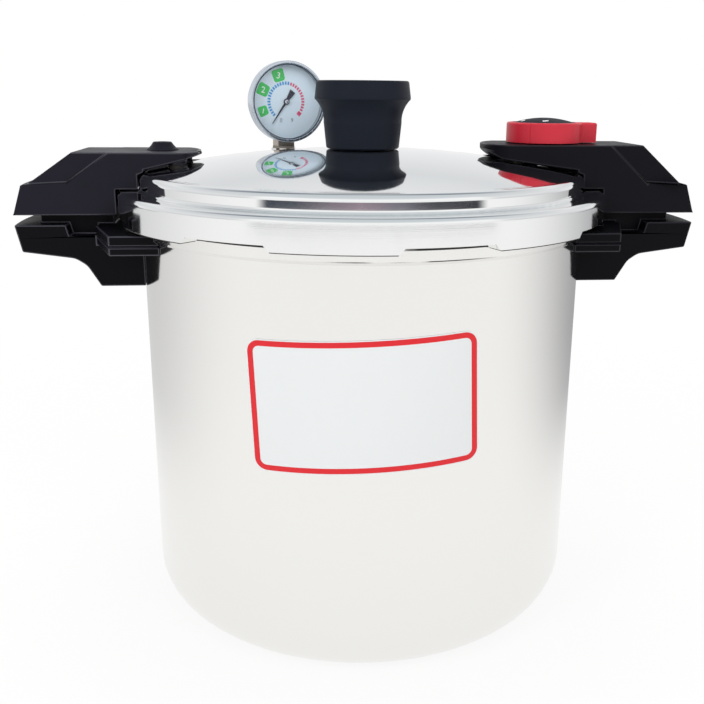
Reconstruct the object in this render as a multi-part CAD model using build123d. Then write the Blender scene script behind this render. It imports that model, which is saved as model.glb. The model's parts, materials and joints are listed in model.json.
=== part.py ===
from build123d import *
import math
import os

# Twist-lid pressure canner, millimetres, +Z up, X through the side handles, -Y to the front.
# The origin is the middle of the flat base.

# Pot
pot_r = 155.0                # outside of the wall
pot_wall = 3.0
pot_base = 4.0
pot_corner_r = 31.0          # outside of the bottom corner
band_step = 2.2              # how far the rim band stands proud of the wall
band_z = 275.0               # lower edge of the rim band
rim_z = 294.0                # top of the pot
lug_count = 8
lug_turn = -100.2            # direction of one lid lug, degrees from +X
pot_lug_arc = 15.0           # degrees
pot_lug_t = 4.5

# Lid
lid_t = 3.0
gasket_h = 3.9
gasket_w = 12.0
gasket_gap = 0.3             # above and below the gasket
gasket_side_gap = 2.9        # to the skirt
skirt_r = 170.4
skirt_drop = 16.4            # ledge top to the skirt edge between the tabs
tab_drop = 4.1               # tab edge below the skirt edge
lid_lug_arc = 26.6           # degrees
tab_ramp = 3.8               # slanted ends of the tabs
lug_gap = 0.3                # between pot lug and lid tab
hook_gap = 1.2               # tab to rim band, radial
skirt_gap = 0.6              # pot lug to skirt, radial
shoulder_r = 3.5
lid_wall_r = 155.6           # raised wall under the dome
dome_edge_r = 150.6
dome_edge_rise = 11.4        # dome edge above the ledge
dome_rise = 15.1             # crown above the dome edge
ledge_fillet = 1.6
pad_lift = 0.2               # fitting pads beyond the dome

# Handles
grip_half = 30.0             # half of the grip width
grip_reach = 238.5           # end of both grips, from the axis
facet_inset = 1.6            # slanted upper facet set back from the sides
edge_round = 1.2
lid_grip_z = 285.2           # underside of the lid handles
lid_end_z = 304.1            # top of the upright end
lid_end_back = 6.0           # lean of that end
facet_foot_z = 305.7
facet_foot_back = 12.5       # foot of the slanted facet in from the end
facet_top_x = 196.2          # top of the slanted facet
facet_seam_x = 172.3         # where the facet seam meets the top
facet_knee_x = 199.5
facet_knee_z = 307.0
notch_wall_gap = 1.0         # handle clear of the raised wall
notch_wall_z = 312.0
under_gap = 1.2              # tongue above the dome's edge
notch_ledge_out = 0.2        # notch over the ledge goes this far past the skirt
notch_ledge_gap = 0.7        # above the ledge
notch_skirt_gap = 1.0        # handle clear of the skirt
core_inset = 7.0             # block under the tongue set back from the sides
core_gap = 0.7               # that block above the dome
tip_round = 6.0              # corner of the tongue, seen from above
left_top_z = 326.6
left_tip_x = 113.4
left_tip_z = 323.9           # lower lip of the tongue
left_under_x = 124.0         # the tongue's underside starts to climb down here
left_under_z = 321.4
right_top_z = 332.4
right_tip_x = 85.9
right_tip_z = 328.6
right_under_x = 96.0
right_under_z = 322.6
left_bow = 9.8               # bow of the tongue's end
right_bow = 14.0
under_end_x = 149.5          # both undersides end here
under_end_z = 315.3

# Pot handles
pot_grip_z = 278.6           # top of the grips
slot_floor_z = 271.0
slot_in_x = 183.2
slot_out_x = 203.0
slot_slope = 1.9
pot_end_back = 3.7           # lean of the end
pot_end_z = 261.1            # underside at the end
knee_x = 198.4
knee_z = 255.6
leg_knee_x = 191.0
leg_knee_z = 250.7
leg_x = 182.4
leg_z = 236.3
knee_round = 12.0
rib_half = 19.0              # locating rib under the lid handle
rib_end_x = 222.0
rib_gap = 0.6                # rib below the lid handle
rib_skirt_gap = 3.0          # rib clear of the lid's skirt
saddle_z = 278.0
saddle_h = 12.7
saddle_split = 7.0           # upper layer of the saddle
saddle_groove = 0.8
saddle_half = 75.5
saddle_front_x = 167.0
wall_gap = 0.1               # handle to pot wall

# Handle brackets and fasteners
bracket_t = 3.0
bracket_arc = 16.0           # degrees
bracket_z = 243.0
bracket_h = 21.0
tongue_x = 176.0             # end of the bracket's tongue
tongue_half = 9.0
tongue_z = 254.0
tongue_t = 4.0
bracket_fit = 0.2
rivet_r = 2.5
rivet_head_r = 4.0
rivet_head_t = 1.8
rivet_z = 248.5
rivet_turn = 5.2             # degrees either side
pot_screw_x = 167.0
pot_screw_r = 2.4
pot_screw_head_r = 4.2
pot_screw_head_t = 3.2
thread_fit = 0.06
lid_screw_r = 2.0
lid_screw_head_r = 4.0
lid_screw_head_t = 2.6
lid_screw_bite = 6.5
lid_washer_t = 0.8
lid_screw_pad_r = 6.0
left_screw_x = 128.0
left_screw_y = 20.0
right_screw_x = 106.0
right_screw_y = 20.0
boss_r = 6.0

# Knob
knob_top_z = 374.5
knob_band_r = 33.8
knob_top_r = 32.6
knob_band_z = 362.0          # lower edge of the band
knob_neck_r = 27.6
knob_neck_z = 346.0
knob_foot_r = 25.9
knob_foot_chamfer = 1.0
knob_round = 1.6
knob_hole_depth = 24.0
knob_screw_r = 3.0
knob_screw_head_r = 6.0
knob_screw_head_t = 3.6
knob_washer_r = 11.0
knob_washer_t = 1.2

# Pressure gauge
gauge_x = -51.2              # centre of the bezel's front
gauge_y = 55.4
gauge_z = 359.0
gauge_turn = 19.0            # degrees towards +X
bezel_r = 30.0
bezel_lip_r = 27.8
bezel_lip_t = 1.2
bezel_depth = 8.0
bezel_wall = 1.0
lens_t = 1.8
case_wall = 1.0
case_depth = 24.0
case_back_r = 26.5
case_round = 4.0
dial_back = 7.6              # dial's front behind the bezel's front
dial_t = 0.6
needle_t = 0.5
needle_gap = 0.5             # needle above the dial
needle_len = 20.0
needle_tail = 9.4
needle_rest = 235.0          # degrees from +X of the dial at zero stop
needle_hub_r = 2.2
needle_hub_h = 1.6
spindle_r = 0.8
spindle_fit = 0.05
pinion_teeth = 16
sector_teeth = 112           # on the full circle
gear_module = 0.25
gear_t = 2.0
gear_back = 14.8             # back of the sector behind the bezel's front
plate_t = 0.8
plate_front = 9.2            # front plate behind the bezel's front
plate_gap = 7.4              # between the two plates
sector_spread_low = 45.0     # degrees of teeth below the mesh point
sector_spread_high = 6.0
tube_r = 20.6                # middle line of the pressure tube
tube_w = 3.2
tube_h = 6.0
tube_start = -68.0           # degrees
tube_sweep = 232.0
tube_tip_l = 2.2
stem_back = 15.2             # stem axis behind the bezel's front
stem_w = 13.0
stem_thread_r = 4.8
stem_thread_l = 17.0
stem_pad_r = 9.5
socket_half = 6.0            # block inside the case
socket_top = -14.5
nut_t = 4.0
nut_af = 15.0
seal_t = 1.6
seal_r = 8.5

# Pressure selector and valve
valve_x = 131.6
valve_pad_r = 11.0
valve_thread_r = 7.6
valve_thread_l = 15.0
valve_flange_r = 10.5
valve_flange_t = 2.4
valve_tube_r = 8.6
valve_tube_top = 341.0
valve_orifice_r = 2.6
valve_chamber_r = 6.4
valve_seat_z = 324.0
valve_nut_af = 20.0
valve_seal_r = 10.5
plunger_r = 5.4
plunger_h = 2.6
plunger_stem_r = 2.2
plunger_top = 343.0
plunger_gap = 0.2
plunger_travel = 2.5
bonnet_t = 2.2
bonnet_fit = 0.06
spring_r = 4.1
spring_wire = 0.45           # wire radius
spring_turns = 5
selector_r = 26.8
selector_wall = 4.0
selector_floor = 3.0
selector_gap = 0.8           # above the handle
selector_top = 347.0
selector_fit = 0.1
selector_tab_reach = 36.7
selector_tab_w = 16.0
selector_round = 1.4
selector_split_turn = 234.0  # moulding seam, degrees
selector_split_w = 0.8
cap_t = 1.6
cap_rise = 3.2
cap_wall = 2.0
cap_fit = 0.2
clip_r = 11.0
clip_t = 1.0

# Lock pin
pin_x = -140.0
pin_r = 3.0
pin_fit = 0.08
pin_travel = 6.0
pin_top_below = 0.8          # pin top under the cone's top
pin_head_r = 5.2
pin_head_t = 1.6
pin_collar_r = 4.4
pin_collar_t = 1.0
ring_wire = 0.8              # radius of the sealing ring's section
cone_foot_r = 10.9
cone_top_r = 6.5
cone_h = 5.6
bush_r = 5.0
bush_flange_r = 7.2
bush_flange_t = 1.2
bush_l = 8.4
pin_pad_r = 7.6
bush_nut_af = 12.0
bush_nut_t = 2.6
hole_fit = 0.15

# Safety plug
plug_x = 7.0
plug_y = 88.0
plug_r = 6.0
plug_flange_r = 9.0
plug_flange_t = 2.2
plug_groove = 0.1

# Jar rack
rack_side_gap = 8.0          # rack edge to the pot wall
rack_z = 18.0
rack_t = 1.6
rack_foot_in = 26.0          # rack edge to its foot ring
rack_foot_t = 2.0
rack_foot_gap = 0.2
rack_hole_r = 6.5
rack_rings = 4
rack_ring_holes = 6

# Front label
label_turn = -94.1           # degrees from +X
label_w = 143.0
label_h = 83.4
label_z = 187.6
label_tilt = 2.5
label_t = 0.4
label_corner = 8.0
label_lift = 0.05

# Derived levels and radii
pot_in_r = pot_r - pot_wall
rack_r = pot_in_r - rack_side_gap
rack_foot_r = rack_r - rack_foot_in
rack_ring_step = rack_r / (rack_rings + 0.5)
band_r = pot_r + band_step
ledge_under_z = rim_z + gasket_h + 2 * gasket_gap
ledge_z = ledge_under_z + lid_t
skirt_in_r = skirt_r - lid_t
skirt_z = ledge_z - skirt_drop
tab_z = skirt_z - tab_drop
dome_edge_z = ledge_z + dome_edge_rise
crown_z = dome_edge_z + dome_rise
dome_r = (dome_edge_r ** 2 + dome_rise ** 2) / (2 * dome_rise)
gasket_mid_r = skirt_in_r - gasket_side_gap - gasket_w / 2
pitch = 360.0 / lug_count
facet_foot_x = grip_reach - facet_foot_back
notch_wall_r = lid_wall_r + notch_wall_gap
notch_ledge_r = skirt_r + notch_ledge_out
notch_skirt_r = skirt_r + notch_skirt_gap


def at(z0):
    """Lower-face alignment used by every upright cylinder, lifted to z0."""
    return Pos(0, 0, z0)


def drum(r, z0, z1, x=0.0, y=0.0):
    """Upright cylinder between two levels."""
    return Pos(x, y, z0) * Cylinder(r, z1 - z0, align=(Align.CENTER, Align.CENTER, Align.MIN))


def tube(r_in, r_out, z0, z1, x=0.0, y=0.0):
    return drum(r_out, z0, z1, x, y) - drum(r_in, z0, z1, x, y)


def slab(x0, x1, y0, y1, z0, z1):
    centre = Pos((x0 + x1) / 2, (y0 + y1) / 2, (z0 + z1) / 2)
    return centre * Box(x1 - x0, y1 - y0, z1 - z0)


def spun(edges, arc=360.0):
    """Turn a closed (r, z) outline about the Z axis."""
    return revolve(Plane.XZ * make_face(Curve() + edges), Axis.Z, arc)


def chain(*points):
    return Polyline(*points)


def side_prism(points, half):
    """Push an (x, z) outline out to both sides."""
    return extrude(Plane.XZ * make_face(Polyline(*points, close=True)), half, both=True)


def arc_block(r_in, r_out, z0, z1, mid_angle, width):
    """Part of an upright ring, width and mid_angle in degrees."""
    outline = chain((r_in, z0), (r_out, z0), (r_out, z1), (r_in, z1), (r_in, z0))
    return Rot(0, 0, mid_angle - width / 2) * spun(outline, width)


def hexagon(across, z0, z1, x=0.0, y=0.0):
    flat = RegularPolygon(across / 2, 6, major_radius=False)
    return Pos(x, y, z0) * extrude(flat, z1 - z0)


def mirrored(part):
    """The same piece on the left side."""
    return mirror(part, Plane.YZ)


def dome_z(r, inset=0.0):
    """Height of the dome's outside, or of a surface inset below it."""
    return crown_z - dome_r + math.sqrt((dome_r - inset) ** 2 - r ** 2)


def pad_levels(x, y, pad_r):
    """Lower and upper flat of a fitting pad on the sloping dome."""
    r = math.hypot(x, y)
    return dome_z(r + pad_r, lid_t) - pad_lift, dome_z(max(r - pad_r, 0), 0) + pad_lift


def lug_angles():
    return [lug_turn + k * pitch for k in range(lug_count)]


# Pot

def make_pot():
    flat_r = pot_r - pot_corner_r
    inner_corner = pot_corner_r - pot_wall
    corner = pot_corner_r * math.sqrt(0.5)
    inner = inner_corner * math.sqrt(0.5)
    inner_z = pot_base + inner_corner
    outline = [
        chain((0, 0), (flat_r, 0)),
        ThreePointArc((flat_r, 0), (flat_r + corner, pot_corner_r - corner), (pot_r, pot_corner_r)),
        chain((pot_r, pot_corner_r), (pot_r, band_z - band_step), (band_r, band_z),
              (band_r, rim_z - 1), (band_r - 1, rim_z), (pot_in_r, rim_z), (pot_in_r, inner_z)),
        ThreePointArc((pot_in_r, inner_z), (flat_r + inner, inner_z - inner), (flat_r, pot_base)),
        chain((flat_r, pot_base), (0, pot_base), (0, 0)),
    ]
    pot = spun(outline)
    lug_z = skirt_z + lug_gap
    for angle in lug_angles():
        pot += arc_block(band_r - 1, skirt_in_r - skirt_gap, lug_z, lug_z + pot_lug_t, angle, pot_lug_arc)
    for rivet in rivet_places():
        pot -= rivet * radial_pin(rivet_r + thread_fit, pot_in_r - 5, pot_r + 5)
    return pot


def radial_pin(r, r0, r1):
    """Round bar along +X between two distances from the axis."""
    return Pos(r0, 0, 0) * Rot(0, 90, 0) * Cylinder(r, r1 - r0, align=(Align.CENTER, Align.CENTER, Align.MIN))


def rivet_places():
    sides = [0.0, 180.0]
    turns = [-rivet_turn, rivet_turn]
    return [Pos(0, 0, rivet_z) * Rot(0, 0, side + turn) for side in sides for turn in turns]


def make_rivets():
    outer = pot_r + wall_gap + bracket_t
    shank = radial_pin(rivet_r, pot_in_r - rivet_head_t / 2, outer + rivet_head_t / 2)
    inner_head = radial_pin(rivet_head_r, pot_in_r - rivet_head_t - 0.2, pot_in_r - 0.2)
    outer_head = radial_pin(rivet_head_r, outer + wall_gap, outer + wall_gap + rivet_head_t)
    rivet = shank + inner_head + outer_head
    return Compound(children=[place * rivet for place in rivet_places()])


def make_bracket(grow=0.0):
    """Right bracket; grow makes the pocket that takes it."""
    wall = pot_r + wall_gap
    arc = bracket_arc + 2 * math.degrees(grow / wall)
    inner = wall if grow == 0 else wall - 1
    plate = arc_block(inner, wall + bracket_t + grow, bracket_z - grow, bracket_z + bracket_h + grow, 0, arc)
    tongue = slab(wall + bracket_t / 2, tongue_x + grow, -tongue_half - grow, tongue_half + grow,
                  tongue_z - grow, tongue_z + tongue_t + grow)
    body = plate + tongue
    if grow == 0:
        body -= drum(pot_screw_r + thread_fit, tongue_z - 1, tongue_z + tongue_t + 1, pot_screw_x)
        for turn in (-rivet_turn, rivet_turn):
            body -= Pos(0, 0, rivet_z) * Rot(0, 0, turn) * radial_pin(rivet_r + thread_fit, wall - 1, wall + 9)
    return body


def end_cone(r_low, z_low, r_high, z_high, reach):
    """Solid of revolution whose slanted side shapes the bowed end of a grip."""
    lean = (r_high - r_low) / (z_high - z_low)
    low = r_low - lean * reach
    high = r_high + lean * reach
    return spun(chain((0, z_low - reach), (low, z_low - reach), (high, z_high + reach),
                      (0, z_high + reach), (0, z_low - reach)))


def make_pot_handle():
    end_low = grip_reach - pot_end_back
    far = grip_reach + 5
    end_slope = (pot_end_z - knee_z) / (grip_reach - knee_x)
    outline = make_face(Polyline(
        (pot_r - 8, leg_z), (leg_x, leg_z), (leg_knee_x, leg_knee_z), (knee_x, knee_z),
        (far, pot_end_z + end_slope * (far - grip_reach)), (far, pot_grip_z), (slot_out_x, pot_grip_z),
        (slot_out_x - slot_slope, slot_floor_z), (slot_in_x, slot_floor_z), (slot_in_x, saddle_z),
        (pot_r - 8, saddle_z), close=True))
    knees = outline.vertices().filter_by(lambda v: leg_z + 1 < v.Y < knee_z + 0.01)
    grip = extrude(Plane.XZ * fillet(knees, knee_round), grip_half, both=True)
    grip = grip & end_cone(end_low, pot_end_z, grip_reach, pot_grip_z, 40)
    split_z = saddle_z - saddle_split
    body = grip
    body += saddle_layer(split_z + saddle_groove / 2, saddle_z, 0)
    body += saddle_layer(split_z - saddle_groove / 2, split_z + saddle_groove / 2, saddle_groove)
    body += saddle_layer(saddle_z - saddle_h, split_z - saddle_groove / 2, 0)
    rib = slab(pot_r, rib_end_x, -rib_half, rib_half, slot_floor_z - 1, lid_grip_z - rib_gap)
    body += rib - drum(skirt_r + rib_skirt_gap, saddle_z, lid_grip_z)
    body -= drum(pot_r + wall_gap, leg_z - 10, band_z - band_step - wall_gap)
    body -= spun(chain((0, band_z - band_step - 1), (pot_r + wall_gap, band_z - band_step - 1),
                       (pot_r + wall_gap, band_z - band_step - wall_gap), (band_r + wall_gap, band_z - wall_gap),
                       (band_r + wall_gap, rim_z), (0, rim_z), (0, band_z - band_step - 1)))
    body -= make_bracket(bracket_fit)
    for turn in (-rivet_turn, rivet_turn):
        head = radial_pin(rivet_head_r + bracket_fit, pot_r, pot_r + bracket_t + rivet_head_t + 4 * wall_gap)
        body -= Pos(0, 0, rivet_z) * Rot(0, 0, turn) * head
    body -= drum(pot_screw_r + bracket_fit, leg_z - 1, tongue_z + tongue_t + 4, pot_screw_x)
    body -= drum(pot_screw_head_r + bracket_fit, leg_z - 1, pot_screw_seat_z(), pot_screw_x)
    return body


def on_grip_side(edge):
    """True for edges that lie in one of the two flat sides of a grip."""
    box = edge.bounding_box()
    return abs(abs(box.center().Y) - grip_half) < 0.01 and box.size.Y < 0.01


def saddle_layer(z0, z1, inset):
    half = saddle_half - inset
    back = slot_in_x - inset
    front = saddle_front_x - inset
    outline = Polyline((pot_r / 2, -half), (front, -half), (back, -grip_half), (back, grip_half),
                       (front, half), (pot_r / 2, half), close=True)
    return Pos(0, 0, z0) * extrude(make_face(outline), z1 - z0)


def pot_screw_seat_z():
    return leg_z + 4.5


def make_pot_screw():
    seat = pot_screw_seat_z()
    screw = drum(pot_screw_r, seat - 0.5, tongue_z + tongue_t + 2, pot_screw_x)
    screw += drum(pot_screw_head_r, seat - pot_screw_head_t, seat, pot_screw_x)
    screw -= slab(pot_screw_x - 9, pot_screw_x + 9, -0.6, 0.6, seat - pot_screw_head_t - 1, seat - pot_screw_head_t + 1)
    return screw


def make_label():
    sheet = tube(pot_r + label_lift, pot_r + label_lift + label_t, label_z - label_h, label_z + label_h)
    chord = 2 * pot_r * math.sin(label_w / 2 / pot_r)
    face = fillet(Rectangle(chord, label_h).vertices(), label_corner)
    block = extrude(face, pot_r + 10)
    looking = Pos(0, 0, label_z) * Rot(0, 0, label_turn + 90) * Rot(90, 0, 0) * Rot(0, 0, label_tilt)
    return sheet & (looking * block)


# Lid

def make_lid_shell():
    edge_drop = edge_arc_drop()
    turn_z = dome_edge_z - edge_drop
    mid = edge_arc_mid(lid_wall_r, dome_edge_r, dome_edge_z, turn_z)
    in_wall = lid_wall_r - lid_t
    in_edge_z = dome_z(dome_edge_r, lid_t)
    in_mid = edge_arc_mid(in_wall, dome_edge_r, in_edge_z, turn_z)
    half = dome_edge_r / 2
    bend = shoulder_r * (1 - math.sqrt(0.5))
    in_bend = (shoulder_r - lid_t) * (1 - math.sqrt(0.5))
    shoulder_x = skirt_r - shoulder_r
    shoulder_z = ledge_z - shoulder_r
    foot = lid_wall_r + ledge_fillet
    hollow = ledge_fillet * (1 - math.sqrt(0.5))
    hook_r = band_r + hook_gap
    outline = [
        ThreePointArc((0, crown_z), (half, dome_z(half)), (dome_edge_r, dome_edge_z)),
        ThreePointArc((dome_edge_r, dome_edge_z), mid, (lid_wall_r, turn_z)),
        chain((lid_wall_r, turn_z), (lid_wall_r, ledge_z + ledge_fillet)),
        ThreePointArc((lid_wall_r, ledge_z + ledge_fillet), (lid_wall_r + hollow, ledge_z + hollow), (foot, ledge_z)),
        chain((foot, ledge_z), (shoulder_x, ledge_z)),
        ThreePointArc((shoulder_x, ledge_z), (skirt_r - bend, ledge_z - bend), (skirt_r, shoulder_z)),
        chain((skirt_r, shoulder_z), (skirt_r, tab_z), (hook_r, tab_z), (hook_r, skirt_z),
              (skirt_in_r, skirt_z), (skirt_in_r, shoulder_z)),
        ThreePointArc((skirt_in_r, shoulder_z), (skirt_in_r - in_bend, ledge_under_z - in_bend),
                      (shoulder_x, ledge_under_z)),
        chain((shoulder_x, ledge_under_z), (in_wall, ledge_under_z), (in_wall, turn_z)),
        ThreePointArc((in_wall, turn_z), in_mid, (dome_edge_r, in_edge_z)),
        ThreePointArc((dome_edge_r, in_edge_z), (half, dome_z(half, lid_t)), (0, crown_z - lid_t)),
        chain((0, crown_z - lid_t), (0, crown_z)),
    ]
    lid = spun(outline)
    for angle in lug_angles():
        lid -= arc_block(hook_r - 2, skirt_r + 2, tab_z - 2, skirt_z, angle + pitch / 2, pitch - lid_lug_arc)
    ends = lid.edges().filter_by(lambda e: e.geom_type == GeomType.LINE and abs(e.center().Z - tab_z) < 0.01)
    lid = chamfer(ends, tab_ramp)
    for x, y, pad_r, hole_r in lid_fittings():
        low, high = pad_levels(x, y, pad_r)
        lid += drum(pad_r, low, high, x, y)
        lid -= drum(hole_r, low - 5, high + 5, x, y)
    return lid


def edge_arc_drop():
    """Drop from the dome edge to where the rounded edge turns upright."""
    return lid_wall_r - dome_edge_r - 0.5


def edge_arc_mid(wall_r, start_r, start_z, end_z):
    """Middle of the round from the dome edge down to the wall."""
    span = wall_r - start_r
    drop = start_z - end_z
    return (start_r + span * math.sqrt(0.5) + 0.1, end_z + drop * math.sqrt(0.5) + 0.1)


def lid_fittings():
    """Place, pad radius and hole radius of everything that goes through the lid."""
    stem_x, stem_y = stem_place()
    screws = [(x, y, lid_screw_pad_r, lid_screw_r + hole_fit) for x, y in lid_screw_places()]
    return screws + [
        (0, 0, knob_washer_r, knob_screw_r + hole_fit),
        (stem_x, stem_y, stem_pad_r, stem_thread_r + hole_fit),
        (valve_x, 0, valve_pad_r, valve_thread_r + hole_fit),
        (pin_x, 0, pin_pad_r, bush_r + hole_fit),
        (plug_x, plug_y, plug_flange_r, plug_r + hole_fit),
    ]


def lid_screw_places():
    left = [(-left_screw_x, side * left_screw_y) for side in (-1, 1)]
    return left + [(right_screw_x, side * right_screw_y) for side in (-1, 1)]


def make_gasket():
    z0 = rim_z + gasket_gap
    body = tube(gasket_mid_r - gasket_w / 2, gasket_mid_r + gasket_w / 2, z0, z0 + gasket_h)
    return fillet(body.edges(), gasket_h * 0.2)


def make_lid_handle(top_z, tip_x, tip_z, under_x, under_z, bow, screws, hole):
    """Right-hand lid handle: base block, slanted facet and a tongue over the dome."""
    end_r = grip_reach - lid_end_back
    far = grip_reach + 5
    base = side_prism([
        (tip_x, tip_z), (tip_x + 1.5, top_z), (facet_seam_x, top_z), (facet_knee_x, facet_knee_z),
        (facet_foot_x, facet_foot_z), (far, lid_end_z), (far, lid_grip_z), (pot_r, lid_grip_z),
        (under_end_x, under_end_z), (under_x, under_z)], grip_half)
    side_x = tip_x + bow
    sides = chain((side_x, grip_half), (far, grip_half), (far, -grip_half), (side_x, -grip_half))
    plan = make_face(Curve() + [sides, ThreePointArc((side_x, -grip_half), (tip_x, 0), (side_x, grip_half))])
    plan = fillet(plan.vertices().sort_by(Axis.X)[:2], tip_round)
    base = base & (at(lid_grip_z - 10) * extrude(plan, top_z - lid_grip_z + 20))
    base = base & end_cone(grip_reach, lid_grip_z, end_r, lid_end_z, 60)
    base = fillet(base.edges().filter_by(lambda e: on_grip_side(e) and e.center().Z < facet_foot_z
                                         and e.center().X > grip_reach - 40), edge_round)
    facet = side_prism([(facet_seam_x, top_z), (facet_top_x, top_z), (facet_foot_x, facet_foot_z),
                        (facet_foot_x - 2, facet_foot_z - 6), (facet_knee_x, facet_knee_z - 6),
                        (facet_seam_x, facet_knee_z)], grip_half - facet_inset)
    rim = facet.edges().filter_by(lambda e: e.center().X > facet_top_x - 3 and e.center().Z > facet_foot_z + 1)
    facet = fillet(rim, edge_round)
    core_half = grip_half - core_inset
    core = slab(side_x + 2, under_end_x, -core_half, core_half, dome_edge_z, top_z - 1)
    body = base + (core - under_dome(core_gap)) + facet
    body -= spun(chain((0, pot_grip_z), (notch_wall_r, pot_grip_z), (notch_wall_r, notch_wall_z),
                       (dome_edge_r, dome_edge_z + under_gap), (0, dome_edge_z + under_gap), (0, pot_grip_z)))
    roof = ledge_z + notch_ledge_gap
    turn = notch_skirt_r - notch_ledge_r
    part = turn * math.sqrt(0.5)
    body -= spun([chain((notch_ledge_r, roof), (0, roof), (0, lid_grip_z - 10), (notch_skirt_r, lid_grip_z - 10),
                        (notch_skirt_r, roof - turn)),
                  ThreePointArc((notch_skirt_r, roof - turn), (notch_ledge_r + part, roof - turn + part),
                                (notch_ledge_r, roof))])
    for x, y in screws:
        low, high = pad_levels(x, y, lid_screw_pad_r)
        body += drum(boss_r, high, high + lid_screw_bite + 1, x, y) & drum(500, 0, top_z - 1)
        body -= drum(lid_screw_pad_r + 0.4, ledge_z, high, x, y)
        body -= drum(lid_screw_r + thread_fit, high - 1, high + lid_screw_bite + 0.5, x, y)
    if hole:
        body -= hole
    return body


def under_dome(gap):
    """Everything below a surface that stays a gap above the dome."""
    half = dome_edge_r / 2
    edge = dome_z(dome_edge_r, -gap)
    return spun([chain((0, crown_z + gap), (0, skirt_z), (dome_edge_r, skirt_z), (dome_edge_r, edge)),
                 ThreePointArc((dome_edge_r, edge), (half, dome_z(half, -gap)), (0, crown_z + gap))])


def right_handle_hole():
    low, high = pad_levels(valve_x, 0, valve_pad_r)
    clear = valve_pad_r + 0.5
    return drum(clear, ledge_z, high + valve_flange_t + 0.4, valve_x) + drum(
        valve_tube_r + 0.4, high, right_top_z + 5, valve_x)


def left_handle_hole():
    """Modelled on the right side and mirrored with the handle."""
    low, high = pad_levels(pin_x, 0, pin_pad_r)
    clear = pin_pad_r + 0.5
    room = high + bush_flange_t + pin_collar_t + pin_travel + 1
    return drum(clear, ledge_z, high + bush_flange_t + 0.4, -pin_x) + drum(
        pin_collar_r + 0.4, high, min(room, left_top_z - 1), -pin_x) + drum(
        pin_r + 0.4, high, left_top_z + 5, -pin_x)


def make_lid_screws():
    screws = []
    for x, y in lid_screw_places():
        low, high = pad_levels(x, y, lid_screw_pad_r)
        under = low - lid_washer_t
        screw = drum(lid_screw_r, under - 0.5, high + lid_screw_bite, x, y)
        screw += drum(lid_screw_head_r, under - lid_screw_head_t, under, x, y)
        slot_z = under - lid_screw_head_t
        screws.append(screw - slab(x - 6, x + 6, y - 0.5, y + 0.5, slot_z - 1, slot_z + 1))
    return Compound(children=screws)


def make_lid_washers():
    rings = []
    for x, y in lid_screw_places():
        low, high = pad_levels(x, y, lid_screw_pad_r)
        rings.append(tube(lid_screw_r + hole_fit, lid_screw_pad_r - 0.5, low - lid_washer_t, low, x, y))
    return Compound(children=rings)


# Knob

def make_knob():
    z0 = pad_levels(0, 0, knob_washer_r)[1]
    hole_r = knob_screw_r + thread_fit
    hole_z = z0 + knob_hole_depth
    band_mid = ((knob_band_r + knob_neck_r) / 2 - 1.0, (knob_band_z + knob_neck_z) / 2 + 2.4)
    corner = knob_round * (1 - math.sqrt(0.5))
    return spun([
        chain((0, hole_z), (hole_r, hole_z), (hole_r, z0), (knob_foot_r - knob_foot_chamfer, z0),
              (knob_foot_r, z0 + knob_foot_chamfer), (knob_neck_r, knob_neck_z)),
        ThreePointArc((knob_neck_r, knob_neck_z), band_mid, (knob_band_r, knob_band_z)),
        chain((knob_band_r, knob_band_z), (knob_band_r, knob_band_z + 1.5), (knob_top_r, knob_top_z - knob_round)),
        ThreePointArc((knob_top_r, knob_top_z - knob_round), (knob_top_r - corner, knob_top_z - corner),
                      (knob_top_r - knob_round, knob_top_z)),
        chain((knob_top_r - knob_round, knob_top_z), (0, knob_top_z), (0, hole_z)),
    ])


def make_knob_screw():
    low, high = pad_levels(0, 0, knob_washer_r)
    under = low - knob_washer_t
    return drum(knob_screw_r, under - 1, high + knob_hole_depth - 2) + hexagon(
        2 * knob_screw_head_r, under - knob_screw_head_t, under)


def make_knob_washer():
    low = pad_levels(0, 0, knob_washer_r)[0]
    return tube(knob_screw_r + hole_fit, knob_washer_r, low - knob_washer_t, low)


# Gauge, modelled with +Z out of the dial, +Y up and z = 0 at the bezel's front

def gauge_frame():
    turn = math.radians(gauge_turn)
    return Plane(origin=(gauge_x, gauge_y, gauge_z), x_dir=(math.cos(turn), math.sin(turn), 0),
                 z_dir=(math.sin(turn), -math.cos(turn), 0)).location


def stem_place():
    turn = math.radians(gauge_turn)
    return gauge_x - stem_back * math.sin(turn), gauge_y + stem_back * math.cos(turn)


def case_front_r():
    return bezel_r - bezel_wall - 0.05


def make_bezel():
    ring = tube(bezel_lip_r, bezel_r, -bezel_lip_t, 0)
    ring += tube(bezel_r - bezel_wall, bezel_r, -bezel_depth, -bezel_lip_t)
    front = ring.edges().filter_by(GeomType.CIRCLE).sort_by(Axis.Z)[-2:]
    return gauge_frame() * fillet(front, bezel_lip_t * 0.5)


def make_lens():
    return gauge_frame() * drum(case_front_r() - 0.3, -bezel_lip_t - lens_t, -bezel_lip_t)


def make_case():
    front = -bezel_lip_t - lens_t
    back = -case_depth
    r0 = case_front_r()
    r1 = case_back_r
    bend = case_round * (1 - math.sqrt(0.5))
    outline = [
        chain((r0, front), (r0, -bezel_depth - 1), (r1, back + case_round)),
        ThreePointArc((r1, back + case_round), (r1 - bend, back + bend), (r1 - case_round, back)),
        chain((r1 - case_round, back), (0, back), (0, back + case_wall), (r1 - case_round, back + case_wall)),
        ThreePointArc((r1 - case_round, back + case_wall), (r1 - case_wall - bend, back + case_wall + bend),
                      (r1 - case_wall, back + case_round + case_wall)),
        chain((r1 - case_wall, back + case_round + case_wall), (r0 - case_wall, -bezel_depth - 1),
              (r0 - case_wall, front), (r0, front)),
    ]
    case = spun(outline)
    mouth = stem_w / 2 + 0.1
    case -= slab(-mouth, mouth, -bezel_r - 5, socket_top - 3, -stem_back - mouth, -stem_back + mouth)
    return gauge_frame() * case


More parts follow.
